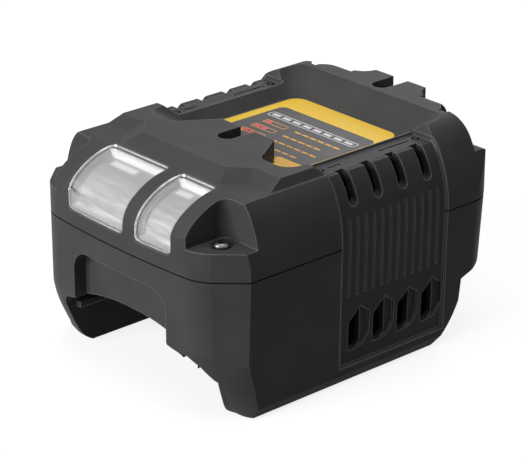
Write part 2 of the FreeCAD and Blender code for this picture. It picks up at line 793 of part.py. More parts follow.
def guide_marks():
    """The engraved drilling guide on each rim: two rings and the line between them."""
    low = RIM_Z - PANEL_STEP - GUIDE_DEPTH
    rings = (GUIDE_FRONT_Y, GUIDE_FRONT_Y + GUIDE_SPACING)
    apart = GUIDE_RADIUS + GUIDE_RING_GAP
    cuts = []
    for x in (GUIDE_X, -GUIDE_X):
        for y in rings:
            ring = post(x, y, low, RIM_Z + 1, GUIDE_RADIUS)
            cuts.append(ring.cut(post(x, y, low, RIM_Z + 1, GUIDE_RADIUS - GUIDE_LINE_WIDTH)))
        for near, far in ((rings[0] + apart, GUIDE_BLANK[0]), (GUIDE_BLANK[1], rings[1] - apart)):
            cuts.append(box(
                x - GUIDE_LINE_WIDTH / 2, x + GUIDE_LINE_WIDTH / 2,
                near, far, low, RIM_Z + 1,
            ))
    return cuts


def make_top_cover():
    """The cover above the seam, with the windows, the deck and the label pocket."""
    above = box(-FAR, FAR, -FAR, FAR, SEAM_Z + SEAM_GAP / 2, FAR)
    shell = outer_form().common(above)
    keep = [pocket_frustum(WALL), tongue_slot(WALL), hook_slot(WALL)]
    keep += corner_pockets(WALL) + rear_notches(WALL)
    hollow = cavity().cut(keep)
    shell = shell.cut(hollow)
    shell = shell.cut(pocket_frustum()).fuse(tongue()).cut(corner_pockets())
    inside = body(WALL / 2)
    bosses = []
    for x, y, floor in screw_places():
        boss = post(x, y, SEAM_Z + SEAM_GAP / 2, floor - COUNTERBORE_DEPTH, BOSS_RADIUS)
        bosses.append(boss.common(inside))
    shell = shell.fuse(bosses)
    cuts = [tongue_slot(), hook_slot(), seam_groove()]
    cuts += [window_tool(WIDE_WINDOW), window_tool(NARROW_WINDOW)]
    cuts += rear_notches() + guide_marks()
    cuts += both_sides(panel_window())
    for x, y, floor in screw_places():
        cuts.append(post(x, y, 0, floor + 1, SCREW_SHANK_RADIUS + SCREW_CLEARANCE))
        radius = COUNTERBORE_RADIUS if y < 0 else REAR_COUNTERBORE_RADIUS
        cuts.append(post(x, y, floor - COUNTERBORE_DEPTH, REAR_STEP_Z + 1, radius))
    return shell.cut(cuts)


def make_base_shell():
    """The base below the seam: two legs, the pack's tunnel and the floor over it."""
    below = box(-FAR, FAR, -FAR, FAR, FOOT_PROUD, SEAM_Z - SEAM_GAP / 2)
    shell = outer_form().common(below)
    hollow = cavity().common(box(-FAR, FAR, -FAR, FAR, LEG_FLOOR_Z, FAR))
    shell = shell.cut(hollow.cut([tunnel(WALL), arch(WALL), lead_in(WALL)]))
    shell = shell.cut([tunnel(), arch()]).fuse(rails())
    inside = body(WALL / 2)
    bosses = []
    for x, y, _floor in screw_places():
        boss = post(x, y, LEG_FLOOR_Z - WALL / 2, SEAM_Z - SEAM_GAP / 2, BOSS_RADIUS)
        bosses.append(boss.common(inside))
    for x, y in board_screw_places():
        boss = post(x, y, LEG_FLOOR_Z - WALL / 2, BOARD_Z, BOARD_BOSS_RADIUS)
        bosses.append(boss.common(inside).cut(tunnel(WALL / 2)))
    shell = shell.fuse(bosses)
    cuts = [lead_in(), seam_groove()] + both_sides(panel_window())
    for x, y, floor in screw_places():
        pilot = SCREW_SHANK_RADIUS + PILOT_CLEARANCE
        cuts.append(post(x, y, floor - COUNTERBORE_DEPTH - SCREW_SHANK_LENGTH - 1.0, FAR, pilot))
    for x, y in board_screw_places():
        pilot = BOARD_SCREW_RADIUS + PILOT_CLEARANCE
        cuts.append(post(x, y, BOARD_Z + BOARD_THICKNESS - BOARD_SCREW_LENGTH - 1.0, FAR, pilot))
    cuts += [foot_recess(x, y) for x in (FOOT_X, -FOOT_X) for y in FOOT_Y]
    cuts += [terminal_opening(), inlet_opening()]
    cuts += [keyhole(side * KEYHOLE_SPACING / 2) for side in (1, -1)]
    return shell.cut(cuts)


def foot_block(x, y, z0, z1, grow=0.0):
    half = FOOT_WIDTH / 2 + grow
    run = FOOT_LENGTH / 2 - FOOT_WIDTH / 2
    core = box(x - half, x + half, y - run, y + run, z0, z1)
    return fused([core, post(x, y - run, z0, z1, half), post(x, y + run, z0, z1, half)])


def foot_recess(x, y):
    return foot_block(x, y, -1, FOOT_PROUD + FOOT_RECESS, PILOT_CLEARANCE)


def make_foot_pads():
    """Four soft pads set into the undersides of the legs."""
    return [foot_block(x, y, 0, FOOT_PROUD + FOOT_RECESS) for x in (FOOT_X, -FOOT_X) for y in FOOT_Y]


def keyhole(x):
    """A keyhole through the rear wall, for a wall screw."""
    back = Vector(0, 1, 0)
    y0 = REAR_Y - WALL - 2
    head = Part.makeCylinder(KEYHOLE_HEAD_RADIUS, FAR, Vector(x, y0, KEYHOLE_Z), back)
    neck = Part.makeCylinder(KEYHOLE_SLOT_RADIUS, FAR, Vector(x, y0, KEYHOLE_Z + KEYHOLE_RISE), back)
    slot = box(
        x - KEYHOLE_SLOT_RADIUS, x + KEYHOLE_SLOT_RADIUS, y0, FAR, KEYHOLE_Z, KEYHOLE_Z + KEYHOLE_RISE,
    )
    return fused([head, neck, slot])


def make_lens(window):
    """A clear lens that follows the curved front, with a flange behind the housing's wall."""
    back = WALL + LENS_FLANGE_THICKNESS
    plug = body(LENS_RECESS).cut(body(back)).common(window_tool(window, -LENS_GAP))
    flange = body(WALL + PILOT_CLEARANCE).cut(body(back)).common(window_tool(window, LENS_FLANGE))
    return fused([plug, flange])


def make_lamp_box():
    """The white box behind both lenses that spreads the light, open towards them."""
    reach = LENS_FLANGE
    x0 = WIDE_WINDOW[0] - reach
    x1 = NARROW_WINDOW[1] + reach
    top = RIM_Z - WALL - LENS_FLANGE_THICKNESS - 2 * PILOT_CLEARANCE
    inside = body(WALL + LENS_FLANGE_THICKNESS + 2 * PILOT_CLEARANCE)
    block = box(x0, x1, -FAR, LAMP_BOX_BACK_Y, LAMP_BOX_FLOOR_Z, top + 1).common(inside)
    cuts = []
    for window in (WIDE_WINDOW, NARROW_WINDOW):
        cuts.append(box(
            window[0] - reach + LAMP_BOX_WALL, window[1] + reach - LAMP_BOX_WALL,
            -FAR, LAMP_BOX_BACK_Y - LAMP_BOX_WALL, LAMP_BOX_FLOOR_Z + LAMP_BOX_WALL, FAR,
        ))
    for x, z in led_places():
        half = LED_SIZE / 2 + 0.3
        cuts.append(box(x - half, x + half, -FAR, FAR, z - half, z + half))
    return block.cut(cuts)


def led_places():
    wide = WIDE_WINDOW[1] - WIDE_WINDOW[0]
    narrow = NARROW_WINDOW[1] - NARROW_WINDOW[0]
    rows = (LAMP_BOX_FLOOR_Z + 7.0, LAMP_BOX_FLOOR_Z + 14.0)
    places = [(WIDE_WINDOW[0] + wide * k / 4, z) for k in (1, 2, 3) for z in rows]
    return places + [(NARROW_WINDOW[0] + narrow * k / 3, z) for k in (1, 2) for z in rows]


def make_led_board():
    """The small upright board behind the lamp box."""
    y0 = LAMP_BOX_BACK_Y + PILOT_CLEARANCE
    x0 = WIDE_WINDOW[0] - LENS_FLANGE
    x1 = NARROW_WINDOW[1] + LENS_FLANGE
    return box(x0, x1, y0, y0 + BOARD_THICKNESS, LAMP_BOX_FLOOR_Z, LAMP_BOX_FLOOR_Z + 20.0)


def make_lamp_leds():
    y1 = LAMP_BOX_BACK_Y + PILOT_CLEARANCE
    half = LED_SIZE / 2
    leds = []
    for x, z in led_places():
        base = box(x - half, x + half, y1 - LED_HEIGHT, y1, z - half, z + half)
        dome = Part.makeSphere(half * 0.8, Vector(x, y1 - LED_HEIGHT + 0.4, z))
        front = box(x - half, x + half, y1 - 2 * half, y1 - LED_HEIGHT, z - half, z + half)
        leds.append(fused([base, dome.common(front)]))
    return leds


def upper_vent(y):
    """One slot that runs from the side over the shoulder, with a round lower end."""
    half = VENT_WIDTH / 2
    centre = VENT_BOTTOM_Z + half
    slot = box(0, FAR, y - half, y + half, centre, FAR)
    end = Part.makeCylinder(half, FAR, Vector(0, y, centre), Vector(1, 0, 0))
    return slot.fuse(end)


def louvre(y):
    """One lower vent: a deep slot with a slanted top, beside a shallow ledge."""
    slot_end = y + LOUVRE_SLOT_WIDTH
    ledge_end = slot_end + LOUVRE_LEDGE_WIDTH
    slot = polygon(on_yz, [
        (y, LOUVRE_BOTTOM_Z), (slot_end - 2.0, LOUVRE_BOTTOM_Z), (slot_end, LOUVRE_BOTTOM_Z + 1.6),
        (slot_end, LOUVRE_SLOT_HIGH_TOP_Z), (y, LOUVRE_SLOT_LOW_TOP_Z),
    ])
    ledge = polygon(on_yz, [
        (slot_end - 2.0, LOUVRE_BOTTOM_Z), (slot_end + 1.0, LOUVRE_BOTTOM_Z + 1.0),
        (ledge_end, LOUVRE_BOTTOM_Z + 5.0), (ledge_end, LOUVRE_SLOT_HIGH_TOP_Z - 4.0),
        (slot_end, LOUVRE_SLOT_HIGH_TOP_Z - 1.0), (slot_end - 2.0, LOUVRE_SLOT_LOW_TOP_Z),
    ])
    return slot.extrude(Vector(FAR, 0, 0)), ledge.extrude(Vector(FAR, 0, 0))


def make_side_panel():
    """The right side's vent panel: a plug in the housing's window with a flange behind it."""
    back = PANEL_STEP + WALL + PANEL_FLANGE_THICKNESS
    plug = body(PANEL_STEP).cut(body(back)).common(panel_window(-PANEL_GAP))
    behind = body(PANEL_STEP + WALL + PILOT_CLEARANCE).cut(body(back))
    legs_side = box(0, PANEL_FLANGE_LOW_X, -FAR, FAR, -FAR, BOARD_Z)
    flange = behind.common(panel_window(PANEL_FLANGE)).cut(legs_side)
    lid = box(0, FAR, -FAR, FAR, -FAR, RIM_Z)
    panel = fused([plug.common(lid), flange.common(lid)])
    cuts = [pocket_frustum(WALL + PANEL_GAP), tunnel(WALL + PANEL_GAP)]
    cuts += [upper_vent(VENT_FIRST_Y + k * VENT_PITCH) for k in range(VENT_COUNT)]
    shallow = body(PANEL_STEP + LOUVRE_LEDGE_DEPTH)
    for k in range(VENT_COUNT):
        slot, ledge = louvre(LOUVRE_FIRST_Y + k * VENT_PITCH)
        cuts += [slot, ledge.cut(shallow)]
    ribbed = body(PANEL_STEP + RIB_DEPTH)
    for k in range(RIB_COUNT):
        y = RIB_FIRST_Y + k * RIB_PITCH
        strip = box(0, FAR, y - RIB_WIDTH / 2, y + RIB_WIDTH / 2, RIB_BOTTOM_Z, RIB_TOP_Z)
        cuts.append(strip.cut(ribbed))
    return panel.cut(cuts)


def make_label():
    """The label on the pocket's floor, cut out round the tongue."""
    half = POCKET_FLOOR_HALF - LABEL_MARGIN
    front = POCKET_FLOOR_FRONT_Y + LABEL_MARGIN
    rear = POCKET_FLOOR_REAR_Y - LABEL_MARGIN / 2
    radius = POCKET_CORNER_RADIUS - LABEL_MARGIN
    centre = (half - radius, rear - radius)
    front_centre = (centre[0], front + radius)
    sheet = mirrored_face(on_xy, (0, front), [
        ((front_centre[0], front),),
        (polar(front_centre, radius, -45), (half, front_centre[1])),
        ((half, centre[1]),),
        (polar(centre, radius, 45), (centre[0], rear)),
        ((0, rear),),
    ])
    solid = moved(sheet, z=POCKET_FLOOR_Z).extrude(Vector(0, 0, LABEL_THICKNESS))
    return solid.cut(tongue(LABEL_MARGIN / 2))


def make_housing_screws():
    """The four pan-head screws that hold the cover to the base."""
    screws = []
    for x, y, floor in screw_places():
        seat = floor - COUNTERBORE_DEPTH
        head = post(x, y, seat, seat + SCREW_HEAD_HEIGHT, SCREW_HEAD_RADIUS)
        rim = [e for e in head.Edges if abs(e.BoundBox.ZMin - seat - SCREW_HEAD_HEIGHT) < TOUCH]
        head = head.makeFillet(SCREW_HEAD_HEIGHT * 0.55, rim)
        shank = post(x, y, seat - SCREW_SHANK_LENGTH, seat, SCREW_SHANK_RADIUS)
        screw = head.fuse(shank)
        top = seat + SCREW_HEAD_HEIGHT
        arm = SCREW_CROSS_LENGTH / 2
        half = SCREW_CROSS_WIDTH / 2
        low = top - SCREW_CROSS_DEPTH
        bar = box(x - arm, x + arm, y - half, y + half, low, top + 1)
        cross = box(x - half, x + half, y - arm, y + arm, low, top + 1)
        screws.append(screw.cut([bar, cross]))
    return screws


def make_circuit_board():
    board = box(
        -BOARD_HALF_WIDTH, BOARD_HALF_WIDTH, BOARD_Y[0], BOARD_Y[1], BOARD_Z, BOARD_Z + BOARD_THICKNESS,
    )
    holes = [
        post(x, y, BOARD_Z - 1, BOARD_Z + BOARD_THICKNESS + 1, BOARD_SCREW_RADIUS + SCREW_CLEARANCE)
        for x, y in board_screw_places()
    ]
    return board.cut(holes)


def make_board_screws():
    screws = []
    top = BOARD_Z + BOARD_THICKNESS
    for x, y in board_screw_places():
        head = post(x, y, top, top + BOARD_SCREW_HEAD_HEIGHT, BOARD_SCREW_HEAD_RADIUS)
        shank = post(x, y, top - BOARD_SCREW_LENGTH, top, BOARD_SCREW_RADIUS)
        screws.append(fused([head, shank]))
    return screws


def standing_box(x, y, size):
    top = BOARD_Z + BOARD_THICKNESS
    return box(
        x - size[0] / 2, x + size[0] / 2, y - size[1] / 2, y + size[1] / 2, top, top + size[2],
    )


def make_transformer_core():
    """A core of two halves with a middle leg through the coil."""
    x, y = CORE_CENTRE
    outer = standing_box(x, y, CORE_SIZE)
    top = BOARD_Z + BOARD_THICKNESS
    cuts = []
    for side in (-1, 1):
        near = CORE_LEG / 2
        far = CORE_SIZE[0] / 2 - CORE_LEG / 2
        low, high = sorted((x + side * near, x + side * far))
        cuts.append(box(low, high, -FAR, FAR, top + CORE_LEG / 2, top + CORE_SIZE[2] - CORE_LEG / 2))
    return outer.common(box(-FAR, FAR, y - CORE_DEPTH / 2, y + CORE_DEPTH / 2, 0, FAR)).cut(cuts)


def make_transformer_coil():
    """The taped coil round the core's middle leg."""
    x, y = CORE_CENTRE
    top = BOARD_Z + BOARD_THICKNESS
    z0 = top + CORE_LEG / 2 + COIL_END_GAP
    z1 = top + CORE_SIZE[2] - CORE_LEG / 2 - COIL_END_GAP
    half_x = CORE_SIZE[0] / 2 - CORE_LEG / 2 - COIL_END_GAP
    half_y = CORE_SIZE[1] / 2
    coil = box(x - half_x, x + half_x, y - half_y, y + half_y, z0, z1)
    upright = [e for e in coil.Edges if e.BoundBox.ZLength > 1 and e.BoundBox.XLength < TOUCH]
    coil = coil.makeFillet(COIL_CORNER_RADIUS, upright)
    near = CORE_LEG / 2 + COIL_BORE_GAP
    deep = CORE_DEPTH / 2 + COIL_BORE_GAP
    bore = box(x - near, x + near, y - deep, y + deep, 0, FAR)
    return coil.cut(bore)


def choke_axis_z():
    return BOARD_Z + BOARD_THICKNESS + CHOKE_RADIUS + 2 * CHOKE_WIRE + 0.15


def make_choke_core():
    x, y = CHOKE_CENTRE
    z = choke_axis_z()
    axis = Vector(0, 1, 0)
    start = Vector(x, y - CHOKE_WIDTH / 2, z)
    ring = Part.makeCylinder(CHOKE_RADIUS, CHOKE_WIDTH, start, axis)
    return ring.cut(Part.makeCylinder(CHOKE_HOLE_RADIUS, CHOKE_WIDTH, start, axis))


def make_choke_winding():
    """Separate turns of wire laid round the ring core, all joined at its outer edge."""
    x, y = CHOKE_CENTRE
    z = choke_axis_z()
    gap = CHOKE_WIRE * 0.1
    inner = CHOKE_HOLE_RADIUS - gap
    outer = CHOKE_RADIUS + gap
    half = CHOKE_WIDTH / 2 + gap
    wire = 2 * CHOKE_WIRE
    sleeve = box(inner - wire, outer + wire, -half - wire, half + wire, -CHOKE_WIRE, CHOKE_WIRE)
    turn = sleeve.cut(box(inner, outer, -half, half, -CHOKE_WIRE, CHOKE_WIRE))
    turns = []
    for bank in (0, 180):
        for k in range(CHOKE_TURNS):
            copy = turn.copy()
            copy.rotate(Vector(0, 0, 0), Vector(0, 1, 0), bank - 66 + 132 * k / (CHOKE_TURNS - 1) + 90)
            turns.append(moved(copy, x, y, z))
    return fused(turns).Solids


def make_main_capacitor():
    x, y, radius, height = MAIN_CAPACITOR
    top = BOARD_Z + BOARD_THICKNESS
    return post(x, y, top, top + height, radius)


def make_output_capacitors():
    top = BOARD_Z + BOARD_THICKNESS
    return [post(x, y, top, top + OUTPUT_CAPACITOR_HEIGHT, OUTPUT_CAPACITOR_RADIUS)
            for x, y in OUTPUT_CAPACITORS]


def make_heat_sink(place):
    """A finned aluminium plate that stands on the board, fins to the right."""
    x, y = place
    top = BOARD_Z + BOARD_THICKNESS
    plate = box(x, x + SINK_BACK, y, y + SINK_LENGTH, top, top + SINK_HEIGHT)
    pitch = (SINK_LENGTH - SINK_FIN_THICKNESS) / (SINK_FINS - 1)
    fins = [
        box(x, x + SINK_BACK + SINK_FIN_DEPTH, y + k * pitch, y + k * pitch + SINK_FIN_THICKNESS,
            top, top + SINK_HEIGHT)
        for k in range(SINK_FINS)
    ]
    return fused([plate] + fins)


def make_power_transistors():
    """The two power transistors, flat against the heat sinks."""
    top = BOARD_Z + BOARD_THICKNESS
    parts = []
    for x, y in (SINK_PRIMARY, SINK_SECONDARY):
        depth, width, height = TRANSISTOR_SIZE
        y0 = y + SINK_LENGTH / 2 - width / 2
        parts.append(box(x - depth, x, y0, y0 + width, top + 4, top + 4 + height))
        legs = [box(x - depth / 2 - 0.4, x - depth / 2 + 0.4, y0 + width * k / 4 - 0.4,
                    y0 + width * k / 4 + 0.4, top, top + 4) for k in (1, 2, 3)]
        parts[-1] = fused([parts[-1]] + legs)
    return parts


def make_bridge_rectifier():
    x, y = RECTIFIER_CENTRE
    return standing_box(x, y, RECTIFIER_SIZE)


def fuse_rods(radius, inset_x, length):
    """Rods of one radius at the fuse's two ends, or one right through it."""
    x, y = FUSE_CENTRE
    z = BOARD_Z + BOARD_THICKNESS + FUSE_RADIUS + 1.2
    start = x - FUSE_LENGTH / 2 + inset_x
    end = x + FUSE_LENGTH / 2 - inset_x - length
    return [
        Part.makeCylinder(radius, length, Vector(x0, y, z), Vector(1, 0, 0)) for x0 in (start, end)
    ]


def make_fuse_tube():
    """The fuse's glass tube, lying along X."""
    length = FUSE_LENGTH - 2 * FUSE_CAP_WALL
    return fuse_rods(FUSE_RADIUS - FUSE_CAP_WALL, FUSE_CAP_WALL, length)[0]


def make_fuse_caps():
    caps = fuse_rods(FUSE_RADIUS, 0.0, FUSE_CAP_LENGTH)
    tube = make_fuse_tube()
    return [cap.cut(tube) for cap in caps]


def make_fuse_clips():
    x, y = FUSE_CENTRE
    top = BOARD_Z + BOARD_THICKNESS
    z = top + FUSE_RADIUS + 1.2
    axis = Vector(1, 0, 0)
    half = FUSE_LENGTH / 2
    clips = []
    for start in (x - half + 0.5, x + half - FUSE_CAP_LENGTH + 0.5):
        width = FUSE_CAP_LENGTH - 1.0
        outer = box(start, start + width, y - FUSE_RADIUS - 0.8, y + FUSE_RADIUS + 0.8, top, z + 1.2)
        bore = Part.makeCylinder(FUSE_RADIUS + TOUCH, width, Vector(start, y, z), axis)
        mouth = box(start, start + width, y - FUSE_RADIUS + 0.4, y + FUSE_RADIUS - 0.4, z, FAR)
        clips.append(outer.cut([bore, mouth]))
    return clips


def fan_axis_z():
    return BOARD_Z + BOARD_THICKNESS + FAN_SIZE / 2 + 0.1


def along_x(radius, x0, x1, y, z):
    return Part.makeCylinder(radius, x1 - x0, Vector(x0, y, z), Vector(1, 0, 0))


def make_fan_frame():
    """The fan's square frame, with its bearing carried on three spokes."""
    z = fan_axis_z()
    half = FAN_SIZE / 2
    x0, x1 = FAN_X, FAN_X + FAN_DEPTH
    frame = box(x0, x1, FAN_Y - half, FAN_Y + half, z - half, z + half)
    lengthwise = [e for e in frame.Edges if e.BoundBox.XLength > 1]
    frame = frame.makeFillet(3.0, lengthwise)
    frame = frame.cut(along_x(FAN_BORE_RADIUS, x0, x1, FAN_Y, z))
    back = 1.5
    hub = along_x(FAN_HUB_RADIUS, x1 - back, x1, FAN_Y, z)
    spokes = []
    for k in range(3):
        spoke = box(x1 - back, x1, FAN_Y - 1.2, FAN_Y + 1.2, z, z + FAN_BORE_RADIUS + 0.5)
        spoke.rotate(Vector(0, FAN_Y, z), Vector(1, 0, 0), 60 + 120 * k)
        spokes.append(spoke)
    tube = along_x(FAN_BEARING_RADIUS, x0 + FAN_CUP_WALL + 1.0, x1, FAN_Y, z)
    frame = fused([frame, hub, tube] + spokes)
    bore = along_x(FAN_SHAFT_RADIUS + FAN_BEARING_CLEARANCE, x0, x1 - 0.6, FAN_Y, z)
    offset = FAN_SCREW_SPACING / 2
    holes = [
        along_x(FAN_SCREW_RADIUS, x0, x1, FAN_Y + sy * offset, z + sz * offset)
        for sy in (-1, 1) for sz in (-1, 1)
    ]
    return frame.cut([bore] + holes)


def make_fan_rotor():
    """The rotor: a cup with blades round it and the shaft that turns in the bearing."""
    z = fan_axis_z()
    x0 = FAN_X + 0.4
    x1 = FAN_X + FAN_DEPTH - 2.4
    cup = along_x(FAN_HUB_RADIUS, x0, x1, FAN_Y, z)
    cup = cup.cut(along_x(FAN_HUB_RADIUS - FAN_CUP_WALL, x0 + FAN_CUP_WALL, x1, FAN_Y, z))
    shaft = along_x(FAN_SHAFT_RADIUS, x0, FAN_X + FAN_DEPTH - 1.2, FAN_Y, z)
    tip = FAN_BORE_RADIUS - FAN_TIP_GAP
    blades = []
    for k in range(FAN_BLADES):
        half = FAN_BLADE_THICKNESS / 2
        run = (x1 - x0) / 2 / math.cos(math.radians(FAN_BLADE_TWIST)) - 0.6
        blade = box(-run, run, -half, half, FAN_HUB_RADIUS - 0.6, tip)
        blade.rotate(Vector(0, 0, 0), Vector(0, 0, 1), FAN_BLADE_TWIST)
        blade.translate(Vector((x0 + x1) / 2, FAN_Y, z))
        blade.rotate(Vector(0, FAN_Y, z), Vector(1, 0, 0), 360.0 * k / FAN_BLADES)
        blades.append(blade)
    wheel = fused([cup] + blades + [shaft])
    return wheel.common(along_x(tip, x0, FAR, FAN_Y, z))


def fan_post_places():
    offset = FAN_SCREW_SPACING / 2
    return [(FAN_Y + side * offset, fan_axis_z() - offset) for side in (-1, 1)]


def make_fan_bracket():
    """The angle bracket on the board that the fan is screwed to."""
    top = BOARD_Z + BOARD_THICKNESS
    x0 = FAN_X + FAN_DEPTH
    low = fan_axis_z() - FAN_SIZE / 2
    half = FAN_SIZE / 2
    thick = BRACKET_THICKNESS
    plate = box(x0, x0 + thick, FAN_Y - half, FAN_Y + half, top, low + 7.0)
    foot = box(x0, x0 + 7.0, FAN_Y - half, FAN_Y + half, top, top + thick)
    holes = [along_x(FAN_SCREW_RADIUS, x0 - 1, x0 + 3, y, z) for y, z in fan_post_places()]
    clear = along_x(FAN_BORE_RADIUS - 1.0, x0 - 1, x0 + 3, FAN_Y, fan_axis_z())
    return fused([plate, foot]).cut(holes + [clear])


def make_fan_screws():
    screws = []
    for y, z in fan_post_places():
        x1 = FAN_X + FAN_DEPTH + BRACKET_THICKNESS
        shank = along_x(FAN_SCREW_RADIUS - PILOT_CLEARANCE, x1 - 8.0, x1, y, z)
        head = along_x(FAN_SCREW_HEAD_RADIUS, x1, x1 + 1.6, y, z)
        screws.append(fused([shank, head]))
    return screws


def terminal_opening():
    """The slot in the tunnel's roof that the terminal block comes down through."""
    return box(
        -BLOCK_HALF_WIDTH - PANEL_GAP, BLOCK_HALF_WIDTH + PANEL_GAP,
        BLOCK_Y[0] - PANEL_GAP, BLOCK_Y[1] + PANEL_GAP, TUNNEL_SIDE_Z, BOARD_Z,
    )


def blade_places():
    return [(k - (BLADE_COUNT - 1) / 2) * BLADE_PITCH for k in range(BLADE_COUNT)]


def make_terminal_block():
    """The moulded block that holds the contact blades and hangs below the tunnel's roof."""
    top = BOARD_Z
    block = box(-BLOCK_HALF_WIDTH, BLOCK_HALF_WIDTH, BLOCK_Y[0], BLOCK_Y[1], BLOCK_BOTTOM_Z, top)
    lip = 2.0
    shelf = TUNNEL_TOP_Z + WALL + PILOT_CLEARANCE
    flange = box(
        -BLOCK_HALF_WIDTH - lip, BLOCK_HALF_WIDTH + lip, BLOCK_Y[0] - lip, BLOCK_Y[1] + lip,
        shelf, shelf + 1.6,
    )
    slots = [
        box(x - BLADE_THICKNESS / 2, x + BLADE_THICKNESS / 2, BLOCK_Y[0] - 1, BLOCK_Y[0] + 5.0,
            BLADE_Z - BLADE_HEIGHT / 2, BLADE_Z + BLADE_HEIGHT / 2)
        for x in blade_places()
    ]
    return fused([block, flange]).cut(slots)


def make_terminal_blades():
    """The flat contact blades that point at the tunnel's mouth."""
    y1 = BLOCK_Y[0] + 5.0
    y0 = BLOCK_Y[0] - BLADE_LENGTH
    blades = []
    for x in blade_places():
        half = BLADE_THICKNESS / 2
        low = BLADE_Z - BLADE_HEIGHT / 2
        high = BLADE_Z + BLADE_HEIGHT / 2
        side = polygon(on_yz, [
            (y0, low + 1.2), (y0 + 1.6, low), (y1, low), (y1, high), (y0 + 1.6, high), (y0, high - 1.2),
        ])
        blades.append(moved(side, x=x - half).extrude(Vector(BLADE_THICKNESS, 0, 0)))
    return blades


def inlet_block(y0, y1, grow=0.0):
    """The figure-eight outline of the mains inlet, run between two depths."""
    radius = INLET_HALF_HEIGHT + grow
    reach = INLET_HALF_WIDTH - INLET_HALF_HEIGHT
    back = Vector(0, 1, 0)
    ends = [
        Part.makeCylinder(radius, y1 - y0, Vector(side * reach, y0, INLET_Z), back)
        for side in (-1, 1)
    ]
    middle = box(-reach, reach, y0, y1, INLET_Z - radius, INLET_Z + radius)
    return fused([middle] + ends)


def inlet_opening():
    return inlet_block(REAR_Y - WALL - 2, REAR_Y + 2, INLET_WALL + PILOT_CLEARANCE)


def make_inlet_socket():
    """The mains inlet, pushed through the rear wall from the inside."""
    y1 = REAR_Y - 0.2
    y0 = y1 - INLET_DEPTH
    body_part = inlet_block(y0, y1, INLET_WALL)
    seat = REAR_Y - WALL - PILOT_CLEARANCE
    flange = inlet_block(seat - INLET_FLANGE_THICKNESS, seat, INLET_WALL + INLET_FLANGE)
    hollow = inlet_block(y0 + 3.0, FAR)
    holes = [
        Part.makeCylinder(PIN_RADIUS + TOUCH, FAR, Vector(side * PIN_SPACING / 2, y0 - 1, INLET_Z),
                          Vector(0, 1, 0))
        for side in (-1, 1)
    ]
    return fused([body_part, flange]).cut([hollow] + holes)


def make_inlet_pins():
    y1 = REAR_Y - 0.2 - 2.0
    pins = []
    for side in (-1, 1):
        start = Vector(side * PIN_SPACING / 2, y1 - PIN_LENGTH, INLET_Z)
        pin = Part.makeCylinder(PIN_RADIUS, PIN_LENGTH, start, Vector(0, 1, 0))
        far_end = [e for e in pin.Edges if abs(e.BoundBox.YMin - y1) < TOUCH]
        pins.append(pin.makeFillet(PIN_RADIUS * 0.6, far_end))
    return pins


def wire(points, radius=WIRE_RADIUS):
    """A wire of straight runs joined by tangent arcs, each as large as its runs allow."""
    corners = [Vector(*p) for p in points]
    edges = []
    here = corners[0]
    for before, corner, after in zip(corners, corners[1:], corners[2:]):
        into = corner - before
        out = after - corner
        turn = into.getAngle(out)
        reach = 0.45 * min(into.Length, out.Length)
        into.normalize()
        out.normalize()
        start = corner - into * reach
        end = corner + out * reach
        bend = reach / math.tan(turn / 2)
        centre = corner + (out - into).normalize() * math.hypot(bend, reach)
        middle = centre + (corner - centre).normalize() * bend
        edges.append(Part.makeLine(here, start))
        edges.append(Part.Arc(start, middle, end).toShape())
        here = end
    edges.append(Part.makeLine(here, corners[-1]))
    path = Part.Wire(edges)
    ring = Part.Wire([Part.makeCircle(radius, corners[0], corners[1] - corners[0])])
    return path.makePipeShell([ring], True, False, 2)


def make_inlet_wires():
    """The two wires from the inlet's pins down to the board."""
    y0 = REAR_Y - 0.2 - 2.0 - PIN_LENGTH
    top = BOARD_Z + BOARD_THICKNESS
    wires = []
    for side in (-1, 1):
        x = side * PIN_SPACING / 2
        wires.append(wire([(x, y0, INLET_Z), (x, y0 - 3.4, INLET_Z), (x, y0 - 3.4, top)]))
    return wires


def make_fan_wires():
    """The two wires from the fan's frame over the bracket and down to the board."""
    top = BOARD_Z + BOARD_THICKNESS
    x0 = FAN_X + FAN_DEPTH
    y = FAN_Y + FAN_SIZE / 2 - 2.6
    z = fan_axis_z() + FAN_SIZE / 2 - 3.0
    wires = []
    for drop in (FAN_WIRE_REACH, FAN_WIRE_REACH + 4 * WIRE_RADIUS):
        high = z - 4 * WIRE_RADIUS if drop == FAN_WIRE_REACH else z
        wires.append(wire([(x0, y, high), (x0 + drop, y, high), (x0 + drop, y, top)]))
    return wires


def make_lamp_wires():
    """The two wires from the lamp board back and down to the main board's front edge."""
    y0 = LAMP_BOX_BACK_Y + PILOT_CLEARANCE + BOARD_THICKNESS
    y1 = BOARD_Y[0] + 3.0
    top = BOARD_Z + BOARD_THICKNESS
    z = LAMP_BOX_FLOOR_Z + 4.0
    return [wire([(x, y0, z), (x, y1, z), (x, y1, top)]) for x in (-2 * WIRE_RADIUS, 2 * WIRE_RADIUS)]


def write(name, shapes):
    """Writes one node: a solid, or a group of separate solids."""
    if not isinstance(shapes, list):
        shapes = [shapes]
    solids = [solid for shape in shapes for solid in shape.Solids]
    whole = solids[0] if len(solids) == 1 else Part.Compound(solids)
    whole.exportStep(os.path.join("parts", name + ".step"))
    print(name, len(solids), "solids", round(whole.Volume, 1), "mm3", whole.isValid())


